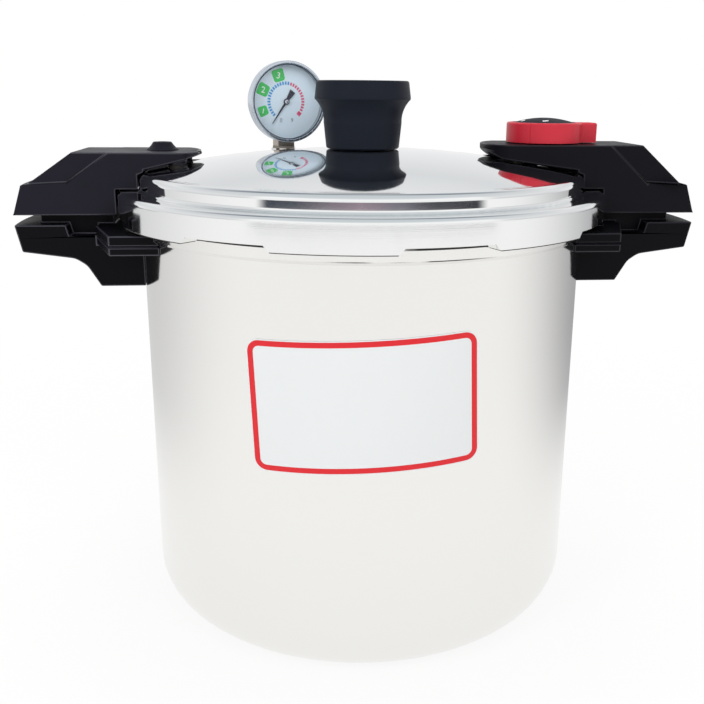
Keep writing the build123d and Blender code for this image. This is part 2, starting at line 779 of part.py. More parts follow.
def make_dial():
    r = case_front_r() - case_wall - 0.2
    back = -dial_back - dial_t
    return gauge_frame() * tube(spindle_r + 0.4, r, back, -dial_back)


def make_pointer():
    z0 = -dial_back + needle_gap
    blade = Polyline((0, 0.9), (needle_len, 0.2), (needle_len, -0.2), (0, -0.9), (-needle_tail, -2.4),
                     (-needle_tail, 2.4), close=True)
    needle = at(z0) * extrude(make_face(blade), needle_t)
    needle += drum(needle_hub_r, z0, z0 + needle_hub_h)
    needle -= drum(spindle_r + 0.01, z0 - 1, z0 + needle_hub_h - 0.4)
    return gauge_frame() * (Rot(0, 0, needle_rest) * needle)


def gear_teeth(count, first, last, radius, phase):
    """Trapezoid teeth on part of a circle, as an outline from tooth to tooth."""
    step = 2 * math.pi / count
    points = []
    for k in range(first, last + 1):
        mid = phase + k * step
        for share, lift in ((-0.27, -1.2), (-0.12, 0.85), (0.12, 0.85), (0.27, -1.2)):
            r = radius + lift * gear_module
            points.append((r * math.cos(mid + share * step), r * math.sin(mid + share * step)))
    return points


def make_spindle():
    pitch_r = pinion_teeth * gear_module / 2
    outline = Polyline(*gear_teeth(pinion_teeth, 0, pinion_teeth - 1, pitch_r, 0), close=True)
    gear_front = -gear_back + gear_t
    pinion = at(-gear_back - 0.3) * extrude(make_face(outline), gear_front + gear_back + 0.6)
    back = -plate_front - 2 * plate_t - plate_gap
    shaft = drum(spindle_r, back + 0.1, -dial_back + needle_gap + needle_hub_h - 0.5)
    return gauge_frame() * (pinion + shaft)


def sector_place():
    return -(pinion_teeth + sector_teeth) * gear_module / 2


def make_sector():
    step = 360.0 / sector_teeth
    radius = sector_teeth * gear_module / 2
    low = -int(sector_spread_low / step)
    high = int(sector_spread_high / step)
    teeth = gear_teeth(sector_teeth, low, high, radius, math.radians(step / 2))
    outline = Polyline((0, 0), *teeth, close=True)
    plate = extrude(make_face(outline), gear_t) + drum(2.4, 0, gear_t)
    tail_turn = math.radians(60)
    tail_x = 4.4 * math.cos(tail_turn)
    tail_y = 4.4 * math.sin(tail_turn)
    plate += extrude(make_face(Polyline((-1.2, 0.7), (1.2, -0.7), (tail_x + 1.0, tail_y - 0.6),
                                        (tail_x - 1.0, tail_y + 0.6), close=True)), gear_t)
    plate += drum(1.2, 0, gear_t, tail_x, tail_y)
    plate -= drum(spindle_r + spindle_fit, -1, gear_t + 1)
    return gauge_frame() * (Pos(sector_place(), 0, -gear_back) * plate)


def make_movement():
    """Two plates on pillars, with the sector's pin, carried on the socket block."""
    front = -plate_front
    back = front - 2 * plate_t - plate_gap
    pivot = sector_place()
    left = pivot - 1.4
    body = slab(left, 6, socket_top - 1, 7, back, back + plate_t)
    body += slab(left, 6, socket_top - 1, 4, front - plate_t, front)
    body -= slab(-2.2, 2.2, 3, 8, front - 2, front + 1)
    for x in (-4.5, 4.5):
        body += drum(1.4, back, front, x, socket_top + 2)
    body += drum(spindle_r, back, front, pivot, 0)
    body -= drum(spindle_r + spindle_fit, back - 1, front + 1)
    body += drum(1.0, back, front, 4.6, 2.6)
    return gauge_frame() * body


def make_pressure_tube():
    """C-shaped flattened tube with a closed tip."""
    mid = -plate_front - plate_t - plate_gap / 2
    section = Pos(tube_r, 0, 0) * RectangleRounded(tube_w, tube_h, tube_w * 0.45)
    bore = Pos(tube_r, 0, 0) * RectangleRounded(tube_w - 0.8, tube_h - 0.8, tube_w * 0.3)
    body = revolve(Plane.XZ * (section - bore), Axis.Z, tube_sweep)
    tip = Pos(tube_r, 0, 0) * Rot(-90, 0, 0) * extrude(RectangleRounded(tube_w, tube_h, tube_w * 0.45), -tube_tip_l)
    body += Rot(0, 0, tube_sweep) * tip
    return gauge_frame() * (at(mid) * Rot(0, 0, tube_start) * body)


def make_stem():
    """Socket block in the case, square stem below it and the thread through the lid."""
    stem_x, stem_y = stem_place()
    low, high = pad_levels(stem_x, stem_y, stem_pad_r)
    foot = high + seal_t
    half = stem_w / 2
    case_bottom = -bezel_r + 1
    back = -plate_front - 2 * plate_t - plate_gap
    block = slab(-socket_half, socket_half, case_bottom + 2, socket_top - 1, back, -plate_front)
    neck = slab(-half, half, foot - gauge_z, case_bottom + 3, -stem_back - half, -stem_back + half)
    tube_mid = -plate_front - plate_t - plate_gap / 2
    half_w = tube_w / 2 + 0.4
    half_h = tube_h / 2 + 0.4
    port = slab(tube_r - half_w, tube_r + half_w, -3.6, -wall_gap, tube_mid - half_h, tube_mid + half_h)
    arm = Rot(0, 0, tube_start) * port
    body = gauge_frame() * (block + neck + arm)
    body += drum(stem_thread_r, high - stem_thread_l, foot + 1, stem_x, stem_y)
    body -= drum(2.0, high - stem_thread_l - 1, foot + 20, stem_x, stem_y)
    return body


def make_stem_seal():
    stem_x, stem_y = stem_place()
    low, high = pad_levels(stem_x, stem_y, stem_pad_r)
    return tube(stem_thread_r + hole_fit, seal_r, high, high + seal_t, stem_x, stem_y)


def make_stem_nut():
    stem_x, stem_y = stem_place()
    low, high = pad_levels(stem_x, stem_y, stem_pad_r)
    nut = hexagon(nut_af, low - nut_t, low, stem_x, stem_y)
    return nut - drum(stem_thread_r + thread_fit, low - nut_t - 1, low + 1, stem_x, stem_y)


# Pressure selector and relief valve

def make_valve_body():
    low, high = pad_levels(valve_x, 0, valve_pad_r)
    top = high + valve_flange_t
    body = drum(valve_thread_r, high - valve_thread_l, high + 1, valve_x)
    body += drum(valve_flange_r, high, top, valve_x)
    body += drum(valve_tube_r, top - 1, valve_tube_top, valve_x)
    body -= drum(valve_orifice_r, high - valve_thread_l - 1, valve_tube_top + 1, valve_x)
    body -= drum(valve_chamber_r, valve_seat_z, valve_tube_top + 1, valve_x)
    groove_z = selector_floor_top() + 0.2
    body -= tube(valve_tube_r - 0.8, valve_tube_r + 1, groove_z - 0.1, groove_z + clip_t + 0.1, valve_x)
    return body


def selector_floor_z():
    return right_top_z + selector_gap


def selector_floor_top():
    return selector_floor_z() + selector_floor


def make_valve_nut():
    low = pad_levels(valve_x, 0, valve_pad_r)[0] - seal_t
    nut = hexagon(valve_nut_af, low - nut_t, low, valve_x)
    return nut - drum(valve_thread_r + thread_fit, low - nut_t - 1, low + 1, valve_x)


def make_valve_seal():
    low = pad_levels(valve_x, 0, valve_pad_r)[0]
    return tube(valve_thread_r + hole_fit, valve_seal_r, low - seal_t, low, valve_x)


def make_plunger():
    z0 = valve_seat_z + plunger_gap
    body = drum(plunger_r, z0, z0 + plunger_h, valve_x)
    return body + drum(plunger_stem_r, z0 + plunger_h - 1, plunger_top, valve_x)


def make_bonnet():
    z0 = valve_tube_top - bonnet_t
    return tube(plunger_stem_r + 0.15, valve_chamber_r - bonnet_fit, z0, valve_tube_top, valve_x)


def make_spring():
    z0 = valve_seat_z + plunger_gap + plunger_h + spring_wire + 0.1
    z1 = valve_tube_top - bonnet_t - spring_wire - 0.1
    path = Helix((z1 - z0) / spring_turns, z1 - z0, spring_r)
    wire = Plane(path @ 0, z_dir=path % 0) * Circle(spring_wire)
    return Pos(valve_x, 0, z0) * sweep(wire, path=path, is_frenet=True)


def make_clip():
    z0 = selector_floor_top() + 0.2
    ring = tube(valve_tube_r - 0.7, clip_r, z0, z0 + clip_t, valve_x)
    return ring - slab(valve_x - 2.5, valve_x + 2.5, 0, 20, z0 - 1, z0 + clip_t + 1)


def make_selector():
    z0 = selector_floor_z()
    tab = slab(valve_x, valve_x + selector_tab_reach, -selector_tab_w / 2, selector_tab_w / 2, z0, selector_top)
    body = drum(selector_r, z0, selector_top, valve_x) + tab
    body = fillet(body.faces().sort_by(Axis.Z)[-1].edges(), selector_round)
    room = selector_r - selector_wall
    body -= drum(room, selector_floor_top(), selector_top + 1, valve_x)
    body -= drum(valve_tube_r + selector_fit, z0 - 1, selector_floor_top() + 1, valve_x)
    turn = math.radians(selector_split_turn)
    seam_x = valve_x + selector_r * math.cos(turn)
    seam_y = selector_r * math.sin(turn)
    body -= drum(selector_split_w / 2, z0 - 1, selector_top + 1, seam_x, seam_y)
    return body


def make_selector_cap():
    """Shallow dome that closes the selector's cup."""
    r = selector_r - selector_wall - cap_fit
    z0 = selector_top - cap_t
    rise = cap_rise + cap_t * 0.4
    ball = (r ** 2 + rise ** 2) / (2 * rise)
    crown = z0 + cap_t * 0.6 + rise
    middle = crown - ball
    inner = ball - cap_t
    r_in = r - cap_wall
    half = r / 2
    outer_half = middle + math.sqrt(ball ** 2 - half ** 2)
    inner_half = middle + math.sqrt(inner ** 2 - half ** 2)
    rim = z0 + cap_t * 0.6
    inner_rim = middle + math.sqrt(inner ** 2 - r_in ** 2)
    foot = selector_floor_top() + wall_gap
    return Pos(valve_x, 0, 0) * spun([
        ThreePointArc((0, crown), (half, outer_half), (r, rim)),
        chain((r, rim), (r, foot), (r_in, foot), (r_in, inner_rim)),
        ThreePointArc((r_in, inner_rim), (half, inner_half), (0, crown - cap_t)),
        chain((0, crown - cap_t), (0, crown)),
    ])


# Lock pin in the left handle

def make_pin_bush():
    low, high = pad_levels(pin_x, 0, pin_pad_r)
    body = drum(bush_r, high - bush_l, high + 1, pin_x)
    body += drum(bush_flange_r, high, high + bush_flange_t, pin_x)
    return body - drum(pin_r + pin_fit, high - bush_l - 1, high + bush_flange_t + 1, pin_x)


def make_pin_nut():
    low = pad_levels(pin_x, 0, pin_pad_r)[0]
    nut = hexagon(bush_nut_af, low - bush_nut_t, low, pin_x)
    return nut - drum(bush_r + thread_fit, low - bush_nut_t - 1, low + 1, pin_x)


def pin_head_top():
    """Seal face of the pin's head, one travel below the bush."""
    high = pad_levels(pin_x, 0, pin_pad_r)[1]
    return high - bush_l - pin_travel - 2 * ring_wire - 0.3


def make_lock_pin():
    high = pad_levels(pin_x, 0, pin_pad_r)[1]
    collar_z = high + bush_flange_t + 0.3
    head = pin_head_top()
    top = left_top_z + cone_h - pin_top_below
    body = drum(pin_r, head - 1, top, pin_x) + drum(pin_head_r, head - pin_head_t, head, pin_x)
    return body + drum(pin_collar_r, collar_z, collar_z + pin_collar_t, pin_x)


def make_pin_seal():
    z0 = pin_head_top() + ring_wire + 0.02
    ring = Pos(pin_x, 0, z0) * Torus(pin_r + 0.05 + ring_wire, ring_wire)
    return ring


def make_pin_cone():
    z0 = left_top_z
    top = z0 + cone_h
    waist_r = (cone_foot_r + cone_top_r) / 2 - 0.7
    bore = pin_r + 0.3
    cone = spun([
        chain((bore, z0), (cone_foot_r, z0), (cone_foot_r, z0 + 0.5)),
        ThreePointArc((cone_foot_r, z0 + 0.5), (waist_r, z0 + cone_h * 0.55), (cone_top_r, top - 0.4)),
        chain((cone_top_r, top - 0.4), (cone_top_r - 0.5, top), (bore, top), (bore, z0)),
    ])
    return Pos(pin_x, 0, 0) * cone


# Safety plug

def make_plug():
    low, high = pad_levels(plug_x, plug_y, plug_flange_r)
    neck = drum(plug_r - plug_groove, low - 0.5, high + 0.5, plug_x, plug_y)
    upper = drum(plug_flange_r - 1, high, high + plug_flange_t, plug_x, plug_y)
    lower = drum(plug_flange_r - 1, low - plug_flange_t, low, plug_x, plug_y)
    return neck + fillet(upper.edges().sort_by(Axis.Z)[-1], plug_flange_t * 0.5) + lower


# Jar rack

def make_rack():
    disc = Circle(rack_r) - Circle(rack_hole_r)
    for ring in range(1, rack_rings + 1):
        disc -= PolarLocations(ring * rack_ring_step, ring * rack_ring_holes) * Circle(rack_hole_r)
    plate = at(rack_z) * extrude(disc, rack_t)
    return plate + tube(rack_foot_r - rack_foot_t, rack_foot_r, pot_base + rack_foot_gap, rack_z)


left_screws = [(left_screw_x, side * left_screw_y) for side in (-1, 1)]
right_screws = [(right_screw_x, side * right_screw_y) for side in (-1, 1)]
left_handle = make_lid_handle(left_top_z, left_tip_x, left_tip_z, left_under_x, left_under_z,
                              left_bow, left_screws, left_handle_hole())
right_handle = make_lid_handle(right_top_z, right_tip_x, right_tip_z, right_under_x, right_under_z,
                               right_bow, right_screws, right_handle_hole())
pot_handle = make_pot_handle()
pot_screw = make_pot_screw()
bracket = make_bracket()

pieces = {
    "pot_body": make_pot(),
    "pot_bracket_left": mirrored(bracket),
    "pot_bracket_right": bracket,
    "bracket_rivets": make_rivets(),
    "pot_handle_left": mirrored(pot_handle),
    "pot_handle_right": pot_handle,
    "pot_handle_screws": Compound(children=[pot_screw, mirrored(pot_screw)]),
    "front_label": make_label(),
    "jar_rack": make_rack(),
    "lid_gasket": make_gasket(),
    "lid_shell": make_lid_shell(),
    "lid_handle_left": mirrored(left_handle),
    "lid_handle_right": right_handle,
    "lid_handle_screws": make_lid_screws(),
    "lid_handle_washers": make_lid_washers(),
    "lid_knob": make_knob(),
    "knob_screw": make_knob_screw(),
    "knob_washer": make_knob_washer(),
    "gauge_bezel": make_bezel(),
    "gauge_lens": make_lens(),
    "gauge_case": make_case(),
    "gauge_dial": make_dial(),
    "gauge_pointer": make_pointer(),
    "gauge_spindle": make_spindle(),
    "gauge_sector": make_sector(),
    "gauge_movement": make_movement(),
    "gauge_tube": make_pressure_tube(),
    "gauge_stem": make_stem(),
    "gauge_stem_seal": make_stem_seal(),
    "gauge_stem_nut": make_stem_nut(),
    "valve_body": make_valve_body(),
    "valve_nut": make_valve_nut(),
    "valve_seal": make_valve_seal(),
    "valve_plunger": make_plunger(),
    "valve_spring": make_spring(),
    "valve_bonnet": make_bonnet(),
    "selector_collar": make_selector(),
    "selector_cap": make_selector_cap(),
    "selector_clip": make_clip(),
    "pin_bush": make_pin_bush(),
    "pin_nut": make_pin_nut(),
    "lock_pin": make_lock_pin(),
    "lock_pin_seal": make_pin_seal(),
    "pin_cone": make_pin_cone(),
    "safety_plug": make_plug(),
}

os.makedirs("parts", exist_ok=True)
for name, piece in pieces.items():
    export_step(piece, f"parts/{name}.step")
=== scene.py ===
# %% [markdown]
# # A pressure canner, dressed for the studio
# The solids of the canner come packed in one file, in metres, each piece already in its place.
# This lesson puts finishes on them and adds what a solid model leaves out: print, ink and soft edges.
# Loading comes first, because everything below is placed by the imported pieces.

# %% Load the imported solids
import json
import math

import bmesh
import bpy
import numpy as np
from mathutils import Matrix, Vector


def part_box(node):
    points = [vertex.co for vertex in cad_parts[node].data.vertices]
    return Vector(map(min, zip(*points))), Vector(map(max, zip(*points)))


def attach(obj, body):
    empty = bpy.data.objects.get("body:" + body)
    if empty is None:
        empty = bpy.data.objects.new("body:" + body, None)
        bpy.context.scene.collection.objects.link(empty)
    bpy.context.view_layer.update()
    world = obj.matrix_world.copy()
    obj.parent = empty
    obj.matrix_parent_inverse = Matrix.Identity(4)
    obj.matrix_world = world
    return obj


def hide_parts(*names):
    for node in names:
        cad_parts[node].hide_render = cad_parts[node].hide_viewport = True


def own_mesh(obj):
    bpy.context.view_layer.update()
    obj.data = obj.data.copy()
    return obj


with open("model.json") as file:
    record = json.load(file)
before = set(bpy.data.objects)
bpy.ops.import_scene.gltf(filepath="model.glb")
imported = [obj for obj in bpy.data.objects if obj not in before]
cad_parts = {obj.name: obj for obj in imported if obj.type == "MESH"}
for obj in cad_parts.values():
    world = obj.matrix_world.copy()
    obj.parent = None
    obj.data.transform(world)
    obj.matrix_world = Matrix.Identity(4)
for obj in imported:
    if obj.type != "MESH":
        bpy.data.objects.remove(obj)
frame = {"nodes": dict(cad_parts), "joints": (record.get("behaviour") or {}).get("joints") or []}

MM = 0.001
nodes = frame["nodes"]
joints = {joint["name"]: joint for joint in frame["joints"]}
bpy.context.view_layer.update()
scene = bpy.context.scene

# %% [markdown]
# ## The camera
# A photograph fixes where its camera stood. The lines of the lid, the grips and the base give a camera
# a little above the knob's shoulder, slightly left of the middle and pitched down about fifteen degrees.
# The camera could be aimed by eye, but its three directions written as a matrix also hold the slight roll.
# The frame is 704 pixels square, so a focal length in pixels turns into a lens by a plain ratio.

# %% Place the camera
FRAME_PX = 704.0
FOCAL_PX = 884.85
SHIFT_PX = (-25.1, -14.74)
SENSOR_MM = 36.0
NEAR_CLIP = 0.01
PITCH = math.radians(15.58)
ROLL = math.radians(0.55)
HEADING = math.radians(5.88)
EYE = Vector((-54.4, -642.3, 367.9)) * MM

forward = Vector((math.sin(HEADING) * math.cos(PITCH), math.cos(HEADING) * math.cos(PITCH), -math.sin(PITCH)))
level_right = Vector((math.cos(HEADING), -math.sin(HEADING), 0))
level_up = level_right.cross(forward)
right = level_right * math.cos(ROLL) + level_up * math.sin(ROLL)
up = level_up * math.cos(ROLL) - level_right * math.sin(ROLL)

camera = bpy.data.objects.new("camera", bpy.data.cameras.new("camera"))
camera.data.sensor_width = SENSOR_MM
camera.data.lens = FOCAL_PX / FRAME_PX * SENSOR_MM
camera.data.shift_x, camera.data.shift_y = (shift / FRAME_PX for shift in SHIFT_PX)
camera.data.clip_start = NEAR_CLIP
camera.matrix_world = Matrix((
    (right.x, up.x, -forward.x, EYE.x),
    (right.y, up.y, -forward.y, EYE.y),
    (right.z, up.z, -forward.z, EYE.z),
    (0, 0, 0, 1)))
scene.collection.objects.link(camera)
scene.camera = camera
print("lens:", round(camera.data.lens, 2), "mm")

# %% [markdown]
# ## Colours and nodes
# Colours are written as the hex values a painter's chart uses and turned to the linear numbers that a
# renderer multiplies. Nodes could be wired by hand in the editor; one small function does the same here.
# It adds a node, sets what is constant, links what is not, and gives back the output that is wanted.

# %% Helpers for colour and nodes
SMOOTH = {"interpolation_type": "SMOOTHSTEP"}
COLOURS = {"data_type": "RGBA", "out": 2}


def ink(code):
    """Linear colour of an sRGB hex code: each channel c becomes c/12.92 or ((c+0.055)/1.055)^2.4."""
    srgb = np.array([int(code[k:k + 2], 16) for k in (1, 3, 5)]) / 255
    linear = np.where(srgb <= 0.04045, srgb / 12.92, ((srgb + 0.055) / 1.055) ** 2.4)
    return (*linear.tolist(), 1.0)


def add(tree, kind, inputs=(), out=0, stops=(), **settings):
    """Add one shader node and give back one output. Inputs go by place or by name: a socket is linked,
    any other value is set. Stops are the (position, hex code) pairs of a colour ramp."""
    node = tree.nodes.new("ShaderNode" + kind)
    for key, value in settings.items():
        setattr(node, key, value)
    for key, value in inputs.items() if isinstance(inputs, dict) else enumerate(inputs):
        if isinstance(value, bpy.types.NodeSocket):
            tree.links.new(value, node.inputs[key])
        else:
            node.inputs[key].default_value = value
    for number, (position, code) in enumerate(stops):
        ramp = node.color_ramp.elements
        element = ramp[number] if number < len(ramp) else ramp.new(1.0)
        element.position, element.color = position, ink(code)
    return node.outputs[out] if node.outputs else node


def finish(name, **constants):
    """New material with one principled shader; constants are set on the shader's own sockets."""
    made = bpy.data.materials.new(name)
    made.use_nodes = True
    shader = made.node_tree.nodes["Principled BSDF"]
    for key, value in constants.items():
        shader.inputs[key.replace("_", " ")].default_value = value
    return made, made.node_tree, shader


print("white:", ink("#FFFFFF"))

# %% [markdown]
# ## The studio
# The canner stands on white paper in soft light. Bright metal shows what is round it, so the paper's tone
# matters as much as the lamps: white close by and in front, greyer behind and to the right, with a dim strip
# more than two metres in front. That gives the wall its soft edges and the lid its dark band.
# Cards could be stood round the canner instead; tones drawn by direction give the same with nothing to hide.

# %% Which way is the front of the room
DIM_TURN = math.radians(0.5)
TO_DIM = (math.sin(DIM_TURN), -math.cos(DIM_TURN), 0.0)


def heading_of(tree, way):
    """Level direction of a vector, and how far that points to the dim side of the room (1 to -1)."""
    level = add(tree, "VectorMath", (way, (1, 1, 0)), operation="MULTIPLY")
    level = add(tree, "VectorMath", (level,), operation="NORMALIZE")
    return level, add(tree, "VectorMath", (level, TO_DIM), "Value", operation="DOT_PRODUCT")


print("dim side:", [round(value, 3) for value in TO_DIM])

# %% [markdown]
# ## The paper's tones
# To polished metal the sheet is white near the canner, greyer with distance behind it, and dim in one strip
# far in front, as a sheet lit from the front would be. The tones could be painted; smooth steps of distance
# and direction need no picture and stay sharp at any size. Distances are in metres from the canner's axis.

# %% Tones of the paper
PAPER, REAR_LEFT, REAR_RIGHT = "#FCFCFB", "#D6D6D6", "#A9A9AB"
REAR_TURN = (-0.3, 0.4)
FRONT_TO_REAR = (0.55, -0.85)
NEAR_TO_FAR = (0.16, 0.60)
DIM_START, DIM_END, DIM_SPREAD = (2.36, 2.46), (3.10, 2.85), (0.55, 0.65)
DIM_TONES = ((0.20, "#3A404C"), (0.45, "#93808D"), (0.60, "#75717C"), (0.74, "#33343D"))

paper = bpy.data.materials.new("studio paper")
paper.use_nodes = True
tree = paper.node_tree
tree.nodes.clear()
ground = add(tree, "TexCoord", out="Object")
away = add(tree, "VectorMath", (ground,), "Value", operation="LENGTH")
level, ahead = heading_of(tree, ground)
sideways = add(tree, "SeparateXYZ", (level,), "X")
to_right = add(tree, "MapRange", (sideways, *REAR_TURN), **SMOOTH)
rear = add(tree, "Mix", {0: to_right, 6: ink(REAR_LEFT), 7: ink(REAR_RIGHT)}, **COLOURS)
behind = add(tree, "MapRange", (ahead, *FRONT_TO_REAR), **SMOOTH)
far = add(tree, "Mix", {0: behind, 6: ink(PAPER), 7: rear}, **COLOURS)
distant = add(tree, "MapRange", (away, *NEAR_TO_FAR), **SMOOTH)
tone = add(tree, "Mix", {0: distant, 6: ink(PAPER), 7: far}, **COLOURS)
dim = 1.0
for gate in ((away, *DIM_START), (away, *DIM_END), (ahead, *DIM_SPREAD)):
    dim = add(tree, "Math", (dim, add(tree, "MapRange", gate, **SMOOTH)), operation="MULTIPLY")
across = add(tree, "MapRange", (sideways, -1.0, 1.0))
dim_tone = add(tree, "ValToRGB", (across,), stops=DIM_TONES)
tone = add(tree, "Mix", {0: dim, 6: tone, 7: dim_tone}, **COLOURS)
print("paper tones:", len(DIM_TONES) + 3)

# %% [markdown]
# ## Paper floor
# A sheet of white paper is one flat rectangle, wide enough that no view finds its edge. The eye and the glass
# see it white, with the canner's own soft shadow left in; only polished metal sees the tones above. The kind
# of ray tells them apart, so the white background costs no extra light on the canner.

# %% Floor
FLOOR_HALF = 8.0
SHADOW_REACH, SHADOW_SHARE = (0.3, 0.9), (0.84, 1.0)


def floor_sheet(half):
    """Flat square on z = 0: the four corners (-half or half, -half or half)."""
    mesh = bpy.data.meshes.new("paper_floor")
    corners = [(-half, -half, 0), (half, -half, 0), (half, half, 0), (-half, half, 0)]
    mesh.from_pydata(corners, [], [(0, 1, 2, 3)])
    sheet = bpy.data.objects.new("paper_floor", mesh)
    scene.collection.objects.link(sheet)
    return sheet


path = add(tree, "LightPath").node.outputs
tone = add(tree, "Mix", {0: path["Is Glossy Ray"], 6: ink("#FFFFFF"), 7: tone}, **COLOURS)
seen = add(tree, "Math", (path["Is Camera Ray"], path["Is Glossy Ray"]), operation="MAXIMUM")
seen = add(tree, "Math", (seen, path["Is Transmission Ray"]), operation="MAXIMUM")
unshaded = add(tree, "MapRange", (away, *SHADOW_REACH, *SHADOW_SHARE), **SMOOTH)
share = add(tree, "Math", (seen, unshaded), operation="MULTIPLY")
dull = add(tree, "BsdfDiffuse", {"Color": ink("#F4F4F3")})
glow = add(tree, "Emission", {"Color": tone, "Strength": 1.0})
add(tree, "OutputMaterial", {"Surface": add(tree, "MixShader", (share, dull, glow))})
floor = floor_sheet(FLOOR_HALF)
floor.data.materials.append(paper)
print("paper:", [round(value, 1) for value in floor.dimensions])

# %% [markdown]
# ## The room
# Round metal squeezes the whole room into a few thin lines, so the room is drawn by height: a bright front
# under a grey ceiling, plain sides, and a pale back wall with a shaded strip under the ceiling. Real walls
# could be modelled; a world that depends on direction alone is lighter and never stands in the camera's way.

# %% Room
FRONT = ((0.0, "#F6F6F6"), (0.30, "#FFFFFF"), (0.48, "#FFFFFF"), (0.64, "#DFE3E6"), (0.84, "#CFD6DA"),
         (1.0, "#CFD6DA"))
SIDES = ((0.0, "#D6D8DA"), (0.30, "#E8E9EA"), (0.60, "#DCDEE0"), (1.0, "#CFD6DA"))
BACK = ((0.0, "#F4F4F5"), (0.18, "#EBECED"), (0.36, "#DEE0E2"), (0.50, "#EDEEEF"), (0.68, "#D4D7DA"),
        (0.80, "#9AA1A9"), (0.89, "#7A828C"), (0.96, "#B6BDC2"), (1.0, "#CFD6DA"))
SIDE_TO_BACK, SIDE_TO_FRONT = (-0.15, -0.65), (0.40, 0.60)
FILL_STRENGTH = 0.78

room = bpy.data.worlds.new("studio room")
scene.world = room
room.use_nodes = True
tree = room.node_tree
tree.nodes.clear()
way = add(tree, "TexCoord", out="Generated")
height = add(tree, "SeparateXYZ", (way,), "Z")
ahead = heading_of(tree, way)[1]
front, sides, back = (add(tree, "ValToRGB", (height,), stops=stops) for stops in (FRONT, SIDES, BACK))
to_back = add(tree, "MapRange", (ahead, *SIDE_TO_BACK), **SMOOTH)
to_front = add(tree, "MapRange", (ahead, *SIDE_TO_FRONT), **SMOOTH)
walls = add(tree, "Mix", {0: to_back, 6: sides, 7: back}, **COLOURS)
walls = add(tree, "Mix", {0: to_front, 6: walls, 7: front}, **COLOURS)
fill = add(tree, "Background", {"Color": ink("#FFFFFF"), "Strength": FILL_STRENGTH})
mirror = add(tree, "Background", {"Color": walls, "Strength": 1.0})
plain = add(tree, "Background", {"Color": ink("#FFFFFF"), "Strength": 1.0})
path = add(tree, "LightPath").node.outputs
gloss_ray = add(tree, "MixShader", (path["Is Glossy Ray"], fill, mirror))
clear = add(tree, "Math", (path["Is Camera Ray"], path["Is Transmission Ray"]), operation="MAXIMUM")
add(tree, "OutputWorld", {"Surface": add(tree, "MixShader", (clear, gloss_ray, plain))})
scene.view_settings.view_transform = "Standard"
print("room bands:", len(FRONT), len(SIDES), len(BACK))

# %% [markdown]
# ## Lamps
# Three soft lamps stand left in front, right in front and overhead. They only light the matt surfaces: metal
# sees the room instead of their square outlines. Spot lamps would be as quick, but their shadows are hard.

# %% Lamps
LAMPS = (
    # name, place (m), size (m), power (W)
    ("key_lamp", (-0.75, -0.80, 0.80), 0.40, 3.4),
    ("front_lamp", (0.45, -0.90, 0.85), 0.6, 2.6),
    ("top_lamp", (0.1, 0.5, 1.9), 1.4, 10.0),
)
LAMP_AIM = Vector((0, 0, 0.25))
for name, place, size, watts in LAMPS:
    lamp = bpy.data.objects.new(name, bpy.data.lights.new(name, "AREA"))
    lamp.data.size = size
    lamp.data.energy = watts
    lamp.location = place
    lamp.rotation_euler = (LAMP_AIM - lamp.location).to_track_quat("-Z", "Y").to_euler()
    lamp.visible_glossy = False
    scene.collection.objects.link(lamp)
print("lamps:", len(LAMPS))

# %% [markdown]
# ## Painted shade in the seams
# The metal is painted dark where shade falls in its seams: along the tab edges, under the skirt and below the
# rim band, and round the screws under the grips. Shade has no thickness to model, so it is a darker zone of
# the metal's own finish, found by height and place.

# %% Seams and screw spots
SEAM_PATCH = 35.7                        # mm between the breaks in a seam's dark line
SEAM_FADE = 0.08
SEAM_OUTSIDE, SEAM_INSIDE = 0.15, 0.10   # mm over which a line's edge fades
SEAM_TAPER = 15                          # mm over which its ends fade
SPOT_REACH, SPOT_FADE = 6.1, 0.4         # mm round a screw


def painted_seam_shade(tree, height, place, seams):
    """How dark the painted shade in the seams is. A seam lies between two heights and two places along X (mm)
    and is broken by a share: the product of five smooth steps. Where seams meet, the darkest counts."""
    along = add(tree, "SeparateXYZ", (place,), "X")
    patch = add(tree, "TexNoise", {"Vector": place, "Scale": 1 / (SEAM_PATCH * MM), "Detail": 3.0}, "Fac")
    darkest = 0.0
    for low, high, broken, first, last in seams:
        line = 1.0
        for gate in ((height, (low - SEAM_OUTSIDE) * MM, (low + SEAM_INSIDE) * MM),
                     (height, (high + SEAM_OUTSIDE) * MM, (high - SEAM_INSIDE) * MM),
                     (patch, broken - SEAM_FADE, broken + SEAM_FADE),
                     (along, (first - SEAM_TAPER) * MM, (first + SEAM_TAPER) * MM),
                     (along, (last + SEAM_TAPER) * MM, (last - SEAM_TAPER) * MM)):
            line = add(tree, "Math", (line, add(tree, "MapRange", gate, **SMOOTH)), operation="MULTIPLY")
        darkest = add(tree, "Math", (darkest, line), operation="MAXIMUM")
    return darkest


def screw_spot_shade(tree, place, spots):
    """Painted shade round screws at (x, y) and (x, -y), under the grips: 1 within reach, soon 0 beyond."""
    axes = add(tree, "SeparateXYZ", (place,)).node.outputs
    folded = add(tree, "CombineXYZ", (axes["X"], add(tree, "Math", (axes["Y"],), operation="ABSOLUTE")))
    gaps = [add(tree, "VectorMath", (folded, (x * MM, y * MM, 0)), "Value", operation="DISTANCE")
            for x, y in spots]
    nearest = add(tree, "Math", gaps, operation="MINIMUM")
    return add(tree, "MapRange", (nearest, (SPOT_REACH + SPOT_FADE) * MM, SPOT_REACH * MM), **SMOOTH)


print("seam lines break every", SEAM_PATCH, "mm or so")

# %% [markdown]
# ## Aluminium, spun and polished
# The pot and lid are pressed from aluminium sheet and polished on a lathe. The dome is buffed to a mirror,
# the skirt keeps a satin grain that runs round the lid, and the pot wall lies between the two.
# Three separate metals would show joins, so one finish changes with the distance from the axis instead.

